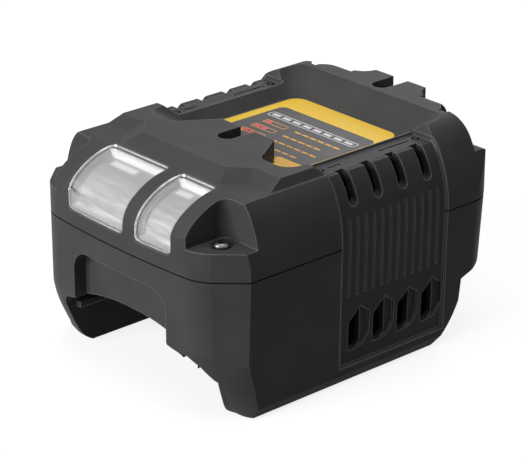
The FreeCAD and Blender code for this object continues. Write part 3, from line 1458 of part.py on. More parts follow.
def main():
    os.makedirs("parts", exist_ok=True)
    panel = make_side_panel()
    nodes = {
        "base_shell": make_base_shell,
        "top_cover": make_top_cover,
        "side_panel_right": lambda: panel,
        "side_panel_left": lambda: mirrored(panel),
        "label": make_label,
        "lens_wide": lambda: make_lens(WIDE_WINDOW),
        "lens_narrow": lambda: make_lens(NARROW_WINDOW),
        "lamp_box": make_lamp_box,
        "led_board": make_led_board,
        "lamp_leds": make_lamp_leds,
        "housing_screws": make_housing_screws,
        "foot_pads": make_foot_pads,
        "circuit_board": make_circuit_board,
        "board_screws": make_board_screws,
        "transformer_core": make_transformer_core,
        "transformer_coil": make_transformer_coil,
        "choke_core": make_choke_core,
        "choke_winding": make_choke_winding,
        "main_capacitor": make_main_capacitor,
        "output_capacitors": make_output_capacitors,
        "heat_sink_primary": lambda: make_heat_sink(SINK_PRIMARY),
        "heat_sink_secondary": lambda: make_heat_sink(SINK_SECONDARY),
        "power_transistors": make_power_transistors,
        "bridge_rectifier": make_bridge_rectifier,
        "fuse_tube": make_fuse_tube,
        "fuse_caps": make_fuse_caps,
        "fuse_clips": make_fuse_clips,
        "fan_frame": make_fan_frame,
        "fan_rotor": make_fan_rotor,
        "fan_bracket": make_fan_bracket,
        "fan_screws": make_fan_screws,
        "terminal_block": make_terminal_block,
        "terminal_blades": make_terminal_blades,
        "inlet_socket": make_inlet_socket,
        "inlet_pins": make_inlet_pins,
        "inlet_wires": make_inlet_wires,
        "fan_wires": make_fan_wires,
        "lamp_wires": make_lamp_wires,
    }
    for name, make in nodes.items():
        write(name, make())


main()
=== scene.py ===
import logging
import math
from dataclasses import dataclass, field
from enum import Enum
from typing import Any

import bmesh
import bpy
from bmesh.types import BMesh, BMVert
from bpy.types import Material, Mesh, Node, NodeSocket as Socket, Object, World
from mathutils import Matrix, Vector


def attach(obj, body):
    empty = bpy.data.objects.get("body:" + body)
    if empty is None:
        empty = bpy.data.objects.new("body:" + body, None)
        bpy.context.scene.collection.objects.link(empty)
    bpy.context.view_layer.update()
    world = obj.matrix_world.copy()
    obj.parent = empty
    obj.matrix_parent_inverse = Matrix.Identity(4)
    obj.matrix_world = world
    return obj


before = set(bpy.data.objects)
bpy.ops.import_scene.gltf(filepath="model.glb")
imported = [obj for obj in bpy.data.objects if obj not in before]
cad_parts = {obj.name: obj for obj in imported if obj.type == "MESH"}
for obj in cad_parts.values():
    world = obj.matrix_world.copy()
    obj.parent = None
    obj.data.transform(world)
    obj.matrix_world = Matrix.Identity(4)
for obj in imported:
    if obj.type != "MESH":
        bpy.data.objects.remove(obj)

MM = 0.001
HOUSING = "housing"
RIM = "rim"
WHITE = (1.0, 1.0, 1.0, 1.0)

log = logging.getLogger("charger")

Colour = tuple[float, float, float]
Triple = tuple[float, float, float]
Point = tuple[float, float]
Range = tuple[float, float]
Box = tuple[float, float, float, float]

# The Mix node keeps its colours in these input and output sockets.
MIX_FIRST = 6
MIX_SECOND = 7
MIX_RESULT = 2

# A bevelled normal leans from the flat one on an edge: these cosines mark where an edge starts and is full.
BEVEL_SAMPLES = 6
EDGE_COSINES = (0.995, 0.85)


def scaled(colour: Colour, share: float) -> Colour:
    """Returns a colour made darker or lighter, up to full strength."""
    return tuple(min(1.0, share * part) for part in colour)


class Owner(Enum):
    """What a shader tree belongs to, with the name of Blender's list of them."""

    MATERIAL = "materials"
    WORLD = "worlds"


class NodeTree:
    """A node tree, with a short call that adds a node and joins its inputs."""

    def __init__(self, tree: bpy.types.NodeTree) -> None:
        """Keeps the tree that the nodes go into."""
        self.tree = tree

    def add(self, kind: str, settings: dict[str, Any] | None = None,
            inputs: dict[str | int, Any] | None = None) -> Node:
        """Adds a node.

        Args:
            kind: The node's Blender type.
            settings: Properties of the node itself.
            inputs: Input sockets, each with a value or a socket to join to it.

        Returns:
            The new node.
        """
        node = self.tree.nodes.new(kind)
        for key, value in (settings or {}).items():
            setattr(node, key, value)
        for key, value in (inputs or {}).items():
            if isinstance(value, Socket):
                self.tree.links.new(value, node.inputs[key])
            else:
                node.inputs[key].default_value = value
        return node


class ShaderGraph(NodeTree):
    """The node tree of a material or a world."""

    def __init__(self, name: str, owner: Owner = Owner.MATERIAL) -> None:
        """Starts an empty tree.

        Args:
            name: The material's or world's name.
            owner: Which of the two it is.
        """
        self.owner = getattr(bpy.data, owner.value).new(name)
        self.owner.use_nodes = True
        super().__init__(self.owner.node_tree)
        self.tree.nodes.clear()
        self.output = self.tree.nodes.new("ShaderNodeOutput" + owner.name.title())
        self.place = self.tree.nodes.new("ShaderNodeTexCoord").outputs["Object"]

    def noise(self, size_mm: float, detail: float = 2.0, stretch: Triple = (1.0, 1.0, 1.0)) -> Socket:
        """Adds a noise pattern.

        Args:
            size_mm: The size of its spots in millimetres.
            detail: How many finer layers it has.
            stretch: The pattern's scale along X, Y and Z.

        Returns:
            The pattern's factor socket.
        """
        place = self.add("ShaderNodeMapping", {}, {"Vector": self.place, "Scale": stretch})
        return self.add("ShaderNodeTexNoise", {}, {
            "Vector": place.outputs["Vector"], "Scale": 1 / (size_mm * MM), "Detail": detail,
        }).outputs["Fac"]

    def stripes(self, direction: str, width_mm: float, profile: str = "SIN", wander: float = 0.0) -> Socket:
        """Adds a pattern of even stripes.

        Args:
            direction: The axis that they follow one another along.
            width_mm: The width of one stripe in millimetres.
            profile: How each stripe rises and falls.
            wander: How far the stripes stray from straight.

        Returns:
            The pattern's factor socket.
        """
        return self.add("ShaderNodeTexWave", {"bands_direction": direction, "wave_profile": profile}, {
            "Vector": self.place, "Scale": 1 / (width_mm * MM * math.pi), "Distortion": wander,
        }).outputs["Fac"]

    def ramp(self, factor: Socket, low: float, high: float) -> Socket:
        """Spreads a factor between two limits to the range 0 to 1."""
        inputs = {"Value": factor, "From Min": low, "From Max": high}
        return self.add("ShaderNodeMapRange", {"clamp": True}, inputs).outputs["Result"]

    def spots(self, size_mm: float, detail: float, limits: Range) -> Socket:
        """Returns a noise pattern's factor, spread between two limits to the range 0 to 1."""
        return self.ramp(self.noise(size_mm, detail), *limits)

    def between(self, factor: Socket, low: float, high: float) -> Socket:
        """Turns a factor of 0 to 1 into a value between two limits."""
        inputs = {"Value": factor, "To Min": low, "To Max": high}
        return self.add("ShaderNodeMapRange", {}, inputs).outputs["Result"]

    def blend(self, factor: Socket, first: Socket | Colour, second: Socket | Colour) -> Socket:
        """Mixes two colours.

        Args:
            factor: The socket of the second colour's share.
            first: The first colour or its socket.
            second: The second colour or its socket.

        Returns:
            The mixed colour's socket.
        """
        first, second = (v if isinstance(v, Socket) else (*v, 1.0) for v in (first, second))
        node = self.add("ShaderNodeMix", {"data_type": "RGBA"}, {
            0: factor, MIX_FIRST: first, MIX_SECOND: second,
        })
        return node.outputs[MIX_RESULT]

    def bump(self, height: Socket, depth_mm: float, normal: Socket | None = None) -> Socket:
        """Adds a bump.

        Args:
            height: The pattern's socket.
            depth_mm: How deep the pattern is, in millimetres.
            normal: The normal that it is added to.

        Returns:
            The bumped normal's socket.
        """
        inputs: dict[str | int, Any] = {"Height": height, "Distance": depth_mm * MM}
        if normal is not None:
            inputs["Normal"] = normal
        return self.add("ShaderNodeBump", {}, inputs).outputs["Normal"]

    def soft_edges(self, radius_mm: float) -> tuple[Socket, Socket]:
        """Rounds the look of sharp edges.

        Args:
            radius_mm: The edges' radius in millimetres.

        Returns:
            The rounded normal, and a factor that is 1 on the edges.
        """
        bevel = self.add("ShaderNodeBevel", {"samples": BEVEL_SAMPLES}, {"Radius": radius_mm * MM})
        rounded = bevel.outputs["Normal"]
        flat = self.add("ShaderNodeNewGeometry").outputs["Normal"]
        same = self.add("ShaderNodeVectorMath", {"operation": "DOT_PRODUCT"}, {0: rounded, 1: flat})
        return rounded, self.ramp(same.outputs["Value"], *EDGE_COSINES)

    def within(self, value: Socket, low: float, high: float) -> Socket:
        """Gives 1 where a value lies between two limits, and 0 elsewhere."""
        inputs = {0: value, 1: (low + high) / 2, 2: (high - low) / 2}
        return self.add("ShaderNodeMath", {"operation": "COMPARE"}, inputs).outputs[0]

    def combine(self, operation: str, *values: Socket) -> Socket:
        """Joins values in a row by one operation.

        Args:
            operation: The Math node's operation, such as MULTIPLY.
            values: The sockets of the values, two or more.

        Returns:
            The result's socket.
        """
        result = values[0]
        for value in values[1:]:
            joined = self.add("ShaderNodeMath", {"operation": operation}, {0: result, 1: value})
            result = joined.outputs[0]
        return result

    def times(self, *factors: Socket) -> Socket:
        """Multiplies factors."""
        return self.combine("MULTIPLY", *factors)

    def axes(self) -> tuple[Socket, ...]:
        """Returns the X, Y and Z sockets of the place on the charger."""
        return tuple(self.add("ShaderNodeSeparateXYZ", {}, {0: self.place}).outputs)

    def surface(self, inputs: dict[str | int, Any]) -> Material:
        """Ends the tree in one Principled shader with these inputs and returns the material."""
        return self.finish(self.add("ShaderNodeBsdfPrincipled", {}, inputs))

    def finish(self, shader: Node) -> Material | World:
        """Joins a shader to the output and returns the tree's owner."""
        self.tree.links.new(shader.outputs[0], self.output.inputs["Surface"])
        return self.owner


@dataclass(frozen=True)
class GrooveShade:
    """Near-black painted shade in the engraved guide, whose rings and lines run along both rims."""

    # The near-black colour of the painted shade in the grooves.
    colour: Colour = (0.003, 0.003, 0.003)
    heights: Range = (84.2, 84.58)
    distances: Range = (40.2, 44.4)
    lengths: Range = (-12.0, 44.0)

    def mask(self, graph: ShaderGraph) -> Socket:
        """Gives 1 in the grooves that get painted shade and 0 elsewhere.

        Args:
            graph: The housing's shader tree.

        Returns:
            The mask's socket.
        """
        x, y, z = graph.axes()
        side = graph.add("ShaderNodeMath", {"operation": "ABSOLUTE"}, {0: x}).outputs[0]
        limits = ((z, self.heights), (side, self.distances), (y, self.lengths))
        return graph.times(*(graph.within(value, low * MM, high * MM) for value, (low, high) in limits))


@dataclass(frozen=True)
class SeamShade:
    """Painted shade at the bottom of the seam groove round the housing."""

    colour: Colour = (0.016, 0.016, 0.016)
    heights: Range = (57.7, 58.3)

    def mask(self, graph: ShaderGraph) -> Socket:
        """Gives 1 in the seam and 0 elsewhere."""
        low, high = self.heights
        return graph.within(graph.axes()[2], low * MM, high * MM)


@dataclass(frozen=True)
class MouldedPlastic:
    """Spark-textured moulded plastic with softly rounded edges, whose colour is lightened as a painted
    highlight.
    """

    name: str
    colour: Colour
    roughness: Range = (0.45, 0.56)
    gloss_mm: float = 3.0
    shine: Range = (0.04, 0.9)
    flow_mm: float = 18.0
    flow_limits: Range = (0.35, 0.65)
    flow_shade: float = 0.86
    grain_mm: float = 0.6
    grain_depth_mm: float = 0.08
    edge_mm: float = 0.45
    # How much the edges' colour is lightened, as a painted highlight.
    edge_highlight: float = 2.0
    painted_shades: tuple[GrooveShade | SeamShade, ...] = ()

    def material(self) -> Material:
        """Builds the finish.

        Returns:
            Its material.
        """
        graph = ShaderGraph(self.name)
        rounded, edge = graph.soft_edges(self.edge_mm)
        flow = graph.spots(self.flow_mm, 3.0, self.flow_limits)
        base = graph.blend(flow, self.colour, scaled(self.colour, self.flow_shade))
        # Painted highlight: the edges' colour is lightened.
        base = graph.blend(edge, base, scaled(self.colour, self.edge_highlight))
        shine = graph.between(edge, *self.shine)
        # Painted shade in the guide grooves and the seam: near-black colour, with the shine taken away.
        for shade_paint in self.painted_shades:
            shade_mask = shade_paint.mask(graph)
            base = graph.blend(shade_mask, base, shade_paint.colour)
            shine = graph.times(shine, graph.between(shade_mask, 1.0, 0.0))
        gloss = graph.noise(self.gloss_mm, detail=4.0)
        grain = graph.noise(self.grain_mm, detail=3.0)
        return graph.surface({
            "Base Color": base,
            "Roughness": graph.between(gloss, *self.roughness),
            "Specular IOR Level": shine,
            "Normal": graph.bump(grain, self.grain_depth_mm, rounded),
        })


@dataclass(frozen=True)
class ClearLens:
    """Clear moulded polycarbonate that lets light through to what is behind it."""

    name: str
    colour: Colour = (0.74, 0.745, 0.75)
    roughness: Range = (0.12, 0.17)
    haze_mm: float = 1.2
    ior: float = 1.5
    ripple_mm: float = 6.0
    ripple_stretch: Triple = (0.3, 1.0, 1.0)
    ripple_depth_mm: float = 0.02

    def material(self) -> Material:
        """Builds the finish.

        Returns:
            Its material.
        """
        graph = ShaderGraph(self.name)
        ripple = graph.noise(self.ripple_mm, detail=1.0, stretch=self.ripple_stretch)
        haze = graph.noise(self.haze_mm, detail=3.0)
        body = graph.add("ShaderNodeBsdfPrincipled", {}, {
            "Base Color": (*self.colour, 1.0),
            "Roughness": graph.between(haze, *self.roughness),
            "IOR": self.ior,
            "Transmission Weight": 1.0,
            "Normal": graph.bump(ripple, self.ripple_depth_mm),
        })
        clear = graph.add("ShaderNodeBsdfTransparent")
        shadow = graph.add("ShaderNodeLightPath").outputs["Is Shadow Ray"]
        return graph.finish(graph.add("ShaderNodeMixShader", {}, {
            0: shadow, 1: body.outputs["BSDF"], 2: clear.outputs["BSDF"],
        }))


@dataclass(frozen=True)
class FrostedReflector:
    """The milky tray behind a lamp window: streaked along its length, with painted light that makes it paler
    towards the sill, and pale rectangles of painted highlight.
    """

    name: str
    colour: Colour = (0.26, 0.26, 0.265)
    # The colour of the painted light and of the painted highlights.
    painted_light_colour: Colour = (0.56, 0.56, 0.56)
    rim: Colour = (0.24, 0.24, 0.245)
    sill_z: float = 66.0
    top_z: float = 79.0
    streak_mm: float = 2.4
    streak_stretch: Triple = (0.12, 1.0, 1.0)
    streak_limits: Range = (0.42, 0.68)
    streak_strength: float = 0.9
    streak_depth_mm: float = 0.08
    # Rectangles of painted highlight, each with its left, right, front and rear in millimetres.
    highlight_boxes: tuple[Box, ...] = ((-24.0, -10.0, -56.6, -54.8), (15.0, 22.5, -56.6, -54.8))
    highlight_soft_mm: float = 0.9
    roughness: float = 0.5
    shine: float = 0.1

    def glow(self, graph: ShaderGraph, x: Socket, y: Socket, box: Box) -> Socket:
        """Fades in a pale rectangle of painted highlight, standing in for a blurred reflection of the lamps.

        Args:
            graph: The finish's shader tree.
            x: The socket of the place's X.
            y: The socket of the place's Y.
            box: The rectangle's left, right, front and rear in millimetres.

        Returns:
            A factor that is 1 inside the rectangle.
        """
        soft = self.highlight_soft_mm * MM
        x0, x1, y0, y1 = (v * MM for v in box)
        return graph.times(
            graph.ramp(x, x0 - soft, x0), graph.ramp(x, x1 + soft, x1),
            graph.ramp(y, y0 - soft, y0), graph.ramp(y, y1 + soft, y1),
        )

    def material(self) -> Material:
        """Builds the finish.

        Returns:
            Its material.
        """
        graph = ShaderGraph(self.name)
        x, y, z = graph.axes()
        noise = graph.noise(self.streak_mm, stretch=self.streak_stretch)
        streaks = graph.ramp(noise, *self.streak_limits)
        # Painted light: the tray grows paler from its top down to the sill, and the pale streaks fade in
        # with it.
        low = graph.ramp(z, self.top_z * MM, self.sill_z * MM)
        share = graph.between(graph.times(streaks, low), 0.0, self.streak_strength)
        base = graph.blend(share, self.colour, self.painted_light_colour)
        # Painted highlights: pale rectangles faded in over the tray.
        for box in self.highlight_boxes:
            base = graph.blend(self.glow(graph, x, y, box), base, self.painted_light_colour)
        border = graph.add("ShaderNodeAttribute", {"attribute_name": RIM}).outputs["Fac"]
        return graph.surface({
            "Base Color": graph.blend(border, base, self.rim),
            "Roughness": self.roughness,
            "Specular IOR Level": self.shine,
            "Normal": graph.bump(streaks, self.streak_depth_mm),
        })


@dataclass(frozen=True)
class PrintedVinyl:
    """Printed label stock: even ink under a satin film, with a faint press grain."""

    name: str
    colour: Colour
    roughness: Range = (0.32, 0.44)
    ink_mm: float = 0.7
    ink_limits: Range = (0.35, 0.65)
    ink_shade: float = 0.94
    press_mm: float = 9.0
    press_depth_mm: float = 0.05
    shine: float = 0.08

    def material(self) -> Material:
        """Builds the finish.

        Returns:
            Its material.
        """
        graph = ShaderGraph(self.name)
        ink = graph.spots(self.ink_mm, 4.0, self.ink_limits)
        press = graph.noise(self.press_mm)
        return graph.surface({
            "Base Color": graph.blend(ink, self.colour, scaled(self.colour, self.ink_shade)),
            "Roughness": graph.between(press, *self.roughness),
            "Specular IOR Level": self.shine,
            "Normal": graph.bump(press, self.press_depth_mm),
        })


@dataclass(frozen=True)
class PlainMetal:
    """Drawn or plated metal with fine marks along one direction and softly broken edges, whose colour is
    lightened as a painted highlight.
    """

    name: str
    colour: Colour
    roughness: Range = (0.22, 0.44)
    marks: Triple = (1.0, 1.0, 12.0)
    mark_mm: float = 3.0
    mark_limits: Range = (0.3, 0.7)
    mark_shade: float = 0.7
    mark_depth_mm: float = 0.01
    edge_mm: float = 0.15
    edge_highlight: float = 1.25

    def material(self) -> Material:
        """Builds the finish.

        Returns:
            Its material.
        """
        graph = ShaderGraph(self.name)
        rounded, edge = graph.soft_edges(self.edge_mm)
        lines = graph.noise(self.mark_mm, detail=5.0, stretch=self.marks)
        worn = graph.ramp(lines, *self.mark_limits)
        base = graph.blend(worn, scaled(self.colour, self.mark_shade), self.colour)
        return graph.surface({
            # Painted highlight: the edges' colour is lightened.
            "Base Color": graph.blend(edge, base, scaled(self.colour, self.edge_highlight)),
            "Metallic": 1.0,
            "Roughness": graph.between(lines, *self.roughness),
            "Normal": graph.bump(lines, self.mark_depth_mm, rounded),
        })


@dataclass(frozen=True)
class SoftRubber:
    """Dull moulded rubber with a dusty bloom."""

    name: str
    colour: Colour = (0.018, 0.018, 0.019)
    dust: Colour = (0.05, 0.05, 0.048)
    dust_mm: float = 5.0
    dust_limits: Range = (0.5, 0.75)
    roughness: float = 0.85
    shine: float = 0.25
    grain_mm: float = 0.5
    grain_depth_mm: float = 0.06

    def material(self) -> Material:
        """Builds the finish.

        Returns:
            Its material.
        """
        graph = ShaderGraph(self.name)
        bloom = graph.spots(self.dust_mm, 5.0, self.dust_limits)
        return graph.surface({
            "Base Color": graph.blend(bloom, self.colour, self.dust),
            "Roughness": self.roughness,
            "Specular IOR Level": self.shine,
            "Normal": graph.bump(graph.noise(self.grain_mm, detail=3.0), self.grain_depth_mm),
        })


@dataclass(frozen=True)
class WrappedTape:
    """Polyester tape wound round a coil, with the edge of each wrap showing."""

    name: str
    colour: Colour = (0.72, 0.47, 0.06)
    wrap_mm: float = 2.6
    wrap_wander: float = 0.4
    wrap_depth_mm: float = 0.12
    seam_limits: Range = (0.9, 1.0)
    seam_shade: float = 0.45
    roughness: Range = (0.24, 0.4)
    gloss_mm: float = 2.0
    coat: float = 0.3

    def material(self) -> Material:
        """Builds the finish.

        Returns:
            Its material.
        """
        graph = ShaderGraph(self.name)
        wraps = graph.stripes("Z", self.wrap_mm, "SAW", self.wrap_wander)
        seam = graph.ramp(wraps, *self.seam_limits)
        return graph.surface({
            "Base Color": graph.blend(seam, self.colour, scaled(self.colour, self.seam_shade)),
            "Roughness": graph.between(graph.noise(self.gloss_mm, detail=3.0), *self.roughness),
            "Coat Weight": self.coat,
            "Normal": graph.bump(wraps, self.wrap_depth_mm),
        })


@dataclass(frozen=True)
class SolderMask:
    """A circuit board's green mask with faint copper tracks under it."""

    name: str
    colour: Colour = (0.012, 0.11, 0.035)
    track_mm: float = 3.4
    track_disorder: float = 0.55
    track_limits: Range = (0.16, 0.1)
    track_lift: float = 2.1
    track_depth_mm: float = 0.04
    roughness: Range = (0.25, 0.38)
    gloss_mm: float = 4.0

    def material(self) -> Material:
        """Builds the finish.

        Returns:
            Its material.
        """
        graph = ShaderGraph(self.name)
        cells = graph.add("ShaderNodeTexVoronoi", {"distance": "MANHATTAN", "feature": "DISTANCE_TO_EDGE"}, {
            "Vector": graph.place, "Scale": 1 / (self.track_mm * MM), "Randomness": self.track_disorder,
        })
        tracks = graph.ramp(cells.outputs["Distance"], *self.track_limits)
        return graph.surface({
            "Base Color": graph.blend(tracks, self.colour, scaled(self.colour, self.track_lift)),
            "Roughness": graph.between(graph.noise(self.gloss_mm), *self.roughness),
            "Normal": graph.bump(tracks, self.track_depth_mm),
        })


@dataclass(frozen=True)
class SinteredCore:
    """Fired ferrite: dull, dark and slightly pitted."""

    name: str
    colour: Colour = (0.06, 0.06, 0.065)
    pit_mm: float = 0.6
    pit_limits: Range = (0.3, 0.42)
    pit_shade: float = 0.5
    pit_depth_mm: float = 0.05
    edge_mm: float = 0.3
    edge_highlight: float = 1.8
    roughness: float = 0.62

    def material(self) -> Material:
        """Builds the finish.

        Returns:
            Its material.
        """
        graph = ShaderGraph(self.name)
        rounded, edge = graph.soft_edges(self.edge_mm)
        pits = graph.spots(self.pit_mm, 5.0, self.pit_limits)
        base = graph.blend(pits, scaled(self.colour, self.pit_shade), self.colour)
        return graph.surface({
            # Painted highlight: the edges' colour is lightened.
            "Base Color": graph.blend(edge, base, scaled(self.colour, self.edge_highlight)),
            "Roughness": self.roughness,
            "Normal": graph.bump(pits, self.pit_depth_mm, rounded),
        })


@dataclass(frozen=True)
class ShrinkSleeve:
    """A capacitor's shiny sleeve with its pale stripe down one side."""

    name: str
    colour: Colour = (0.02, 0.028, 0.07)
    stripe: Colour = (0.5, 0.52, 0.55)
    stripe_mm: float = 11.0
    stripe_limits: Range = (0.93, 0.95)
    roughness: Range = (0.18, 0.3)
    gloss_mm: float = 2.5
    wrinkle_mm: float = 6.0
    wrinkle_depth_mm: float = 0.05
    coat: float = 0.5

    def material(self) -> Material:
        """Builds the finish.

        Returns:
            Its material.
        """
        graph = ShaderGraph(self.name)
        stripe = graph.ramp(graph.stripes("X", self.stripe_mm), *self.stripe_limits)
        return graph.surface({
            "Base Color": graph.blend(stripe, self.colour, self.stripe),
            "Roughness": graph.between(graph.noise(self.gloss_mm), *self.roughness),
            "Coat Weight": self.coat,
            "Normal": graph.bump(graph.noise(self.wrinkle_mm), self.wrinkle_depth_mm),
        })


class Palette(Enum):
    """The charger's finishes.

    The frame has plain materials named fuse_glass, ferrite and coil_tape, and a name that is taken is
    used as it is. So FUSE_GLASS, FERRITE and TAPE aren't built, and their pieces wear the frame's.
    """

    HOUSING = MouldedPlastic(
        "moulded_housing", (0.065, 0.065, 0.066), painted_shades=(GrooveShade(), SeamShade()),
    )
    PANEL = MouldedPlastic("moulded_panel", (0.055, 0.055, 0.056), roughness=(0.5, 0.61))
    LENS = ClearLens("lamp_lens")
    FUSE_GLASS = ClearLens("fuse_glass", (0.95, 0.96, 0.96), roughness=(0.02, 0.07), ripple_depth_mm=0.005)
    REFLECTOR = FrostedReflector("lamp_reflector")
    LAMP_WHITE = MouldedPlastic(
        "lamp_white", (0.7, 0.7, 0.69), roughness=(0.25, 0.36), shine=(0.4, 0.6), grain_depth_mm=0.004,
        edge_mm=0.3, edge_highlight=1.05,
    )
    LED = MouldedPlastic(
        "led_resin", (0.85, 0.72, 0.38), roughness=(0.25, 0.36), shine=(0.4, 0.6), grain_depth_mm=0.003,
        edge_highlight=1.0,
    )
    YELLOW = PrintedVinyl("label_yellow", (0.95, 0.6, 0.03))
    CHARCOAL = PrintedVinyl("label_charcoal", (0.06, 0.054, 0.056))
    WHITE_INK = PrintedVinyl("label_white", (0.78, 0.78, 0.78))
    RED_INK = PrintedVinyl("label_red", (0.9, 0.06, 0.11))
    AMBER_INK = PrintedVinyl("label_amber", (0.93, 0.47, 0.045))
    BLACK_SCREW = PlainMetal("black_screw", (0.2, 0.2, 0.205))
    ZINC = PlainMetal("zinc_plate", (0.55, 0.55, 0.53))
    ALUMINIUM = PlainMetal("sink_aluminium", (0.72, 0.72, 0.73), marks=(1.0, 1.0, 0.1), mark_mm=0.8)
    NICKEL = PlainMetal("nickel_cap", (0.68, 0.66, 0.6), roughness=(0.1, 0.32))
    CONTACT = PlainMetal("tinned_brass", (0.78, 0.6, 0.32), marks=(1.0, 0.1, 1.0), mark_mm=1.0)
    COPPER = PlainMetal("enamelled_copper", (0.62, 0.25, 0.09), roughness=(0.16, 0.38))
    RUBBER = SoftRubber("foot_rubber")
    FERRITE = SinteredCore("ferrite")
    TAPE = WrappedTape("coil_tape")
    BOARD = SolderMask("solder_mask")
    SLEEVE = ShrinkSleeve("capacitor_sleeve")
    EPOXY = MouldedPlastic("moulded_epoxy", (0.03, 0.03, 0.031), roughness=(0.5, 0.61), grain_mm=0.2)
    FAN = MouldedPlastic("fan_plastic", (0.028, 0.028, 0.03), roughness=(0.35, 0.46), grain_depth_mm=0.01)
    BLOCK = MouldedPlastic("block_plastic", (0.04, 0.04, 0.042), roughness=(0.37, 0.48), grain_depth_mm=0.01)
    WIRE = MouldedPlastic("wire_sleeve", (0.42, 0.03, 0.025), roughness=(0.3, 0.41), grain_depth_mm=0.004)

    def get(self) -> Material:
        """Returns the material that has the finish's name, and builds it if there is none."""
        made = bpy.data.materials.get(self.value.name)
        return made if made else self.value.material()


Finishes = dict[str, Palette]


def dress(node: str, finish: Palette) -> None:
    """Gives a finish to a CAD node.

    Args:
        node: The node's name.
        finish: The finish.
    """
    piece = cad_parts[node]
    piece.data.materials.clear()
    piece.data.materials.append(finish.get())
    log.info("dressed %s", node)


@dataclass
class SubAssembly:
    """CAD parts that belong together, each with its finish."""

    finishes: Finishes

    def dress(self) -> None:
        """Gives each part its finish."""
        for node, finish in self.finishes.items():
            dress(node, finish)


def new_object(name: str, data: bpy.types.ID) -> Object:
    """Adds an object to the scene.

    Args:
        name: The object's name.
        data: Its mesh, lamp or camera.

    Returns:
        The new object, at the origin.
    """
    made = bpy.data.objects.new(name, data)
    bpy.context.scene.collection.objects.link(made)
    return made


def aim(made: Object, place: Vector | Triple, back: Vector) -> None:
    """Moves a lamp or camera and turns it.

    Args:
        made: The lamp or camera.
        place: Where it stands.
        back: The direction from what it faces to itself.
    """
    made.location = place
    made.rotation_mode = "QUATERNION"
    made.rotation_quaternion = back.to_track_quat("Z", "Y")


def place_piece(name: str, mesh: Mesh, finish: Palette) -> Object:
    """Adds a finished mesh to the scene as a piece of the charger's housing.

    Args:
        name: The piece's name.
        mesh: Its mesh, with its place in its points.
        finish: Its finish.

    Returns:
        The new object.
    """
    piece = new_object(name, mesh)
    mesh.materials.clear()
    mesh.materials.append(finish.get())
    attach(piece, HOUSING)
    log.info("built %s with %d faces", name, len(mesh.polygons))
    return piece


def arc_points(centre: Point, radius: float, start: float, end: float, steps: int = 8) -> list[Point]:
    """Lists points along an arc.

    Args:
        centre: The arc's centre.
        radius: Its radius.
        start: The first angle in degrees.
        end: The last angle in degrees.
        steps: How many runs it is divided into.

    Returns:
        The points, both ends included.
    """
    points = []
    for k in range(steps + 1):
        turn = math.radians(start + (end - start) * k / steps)
        points.append((centre[0] + radius * math.cos(turn), centre[1] + radius * math.sin(turn)))
    return points


def round_rectangle(x0: float, x1: float, y0: float, y1: float, radius: float) -> list[Point]:
    """Lists the points of a rectangle with round corners, anticlockwise.

    Args:
        x0: Its left edge.
        x1: Its right edge.
        y0: Its front edge.
        y1: Its rear edge.
        radius: The corners' radius.

    Returns:
        The points, from the front right corner on.
    """
    return (
        arc_points((x1 - radius, y0 + radius), radius, -90, 0)
        + arc_points((x1 - radius, y1 - radius), radius, 0, 90)
        + arc_points((x0 + radius, y1 - radius), radius, 90, 180)
        + arc_points((x0 + radius, y0 + radius), radius, 180, 270)
    )


def plain_mesh(name: str, made: BMesh) -> Mesh:
    """Turns an edited mesh into a plain one and frees it.

    Args:
        name: The mesh's name.
        made: The edited mesh.

    Returns:
        The plain mesh.
    """
    mesh = bpy.data.meshes.new(name)
    made.to_mesh(mesh)
    made.free()
    return mesh


def ring(made: BMesh, outline: list[Point], z: float) -> list[BMVert]:
    """Adds an outline's points to a mesh, all at one height in millimetres."""
    return [made.verts.new((x * MM, y * MM, z * MM)) for x, y in outline]


def plate_mesh(name: str, outline: list[Point], z0: float, z1: float) -> Mesh:
    """Makes a flat plate from an outline in millimetres.

    Args:
        name: The mesh's name.
        outline: The plate's closed outline, anticlockwise.
        z0: The underside's height.
        z1: The top's height.

    Returns:
        The plate's mesh.
    """
    made = bmesh.new()
    low, high = (ring(made, outline, z) for z in (z0, z1))
    made.faces.new(list(reversed(low)))
    made.faces.new(high)
    count = len(outline)
    for k in range(count):
        after = (k + 1) % count
        made.faces.new((low[k], low[after], high[after], high[k]))
    return plain_mesh(name, made)


def frame_mesh(name: str, outer: list[Point], inner: list[Point], z0: float, z1: float) -> Mesh:
    """Makes a flat ring between two outlines with the same number of points.

    Args:
        name: The mesh's name.
        outer: The outer outline, anticlockwise.
        inner: The inner outline.
        z0: The underside's height.
        z1: The top's height.

    Returns:
        The ring's mesh.
    """
    made = bmesh.new()
    outer_low, outer_high = (ring(made, outer, z) for z in (z0, z1))
    inner_low, inner_high = (ring(made, inner, z) for z in (z0, z1))
    count = len(outer)
    for k in range(count):
        after = (k + 1) % count
        made.faces.new((outer_low[k], outer_low[after], outer_high[after], outer_high[k]))
        made.faces.new((inner_low[after], inner_low[k], inner_high[k], inner_high[after]))
        made.faces.new((outer_high[k], outer_high[after], inner_high[after], inner_high[k]))
        made.faces.new((outer_low[after], outer_low[k], inner_low[k], inner_low[after]))
    return plain_mesh(name, made)


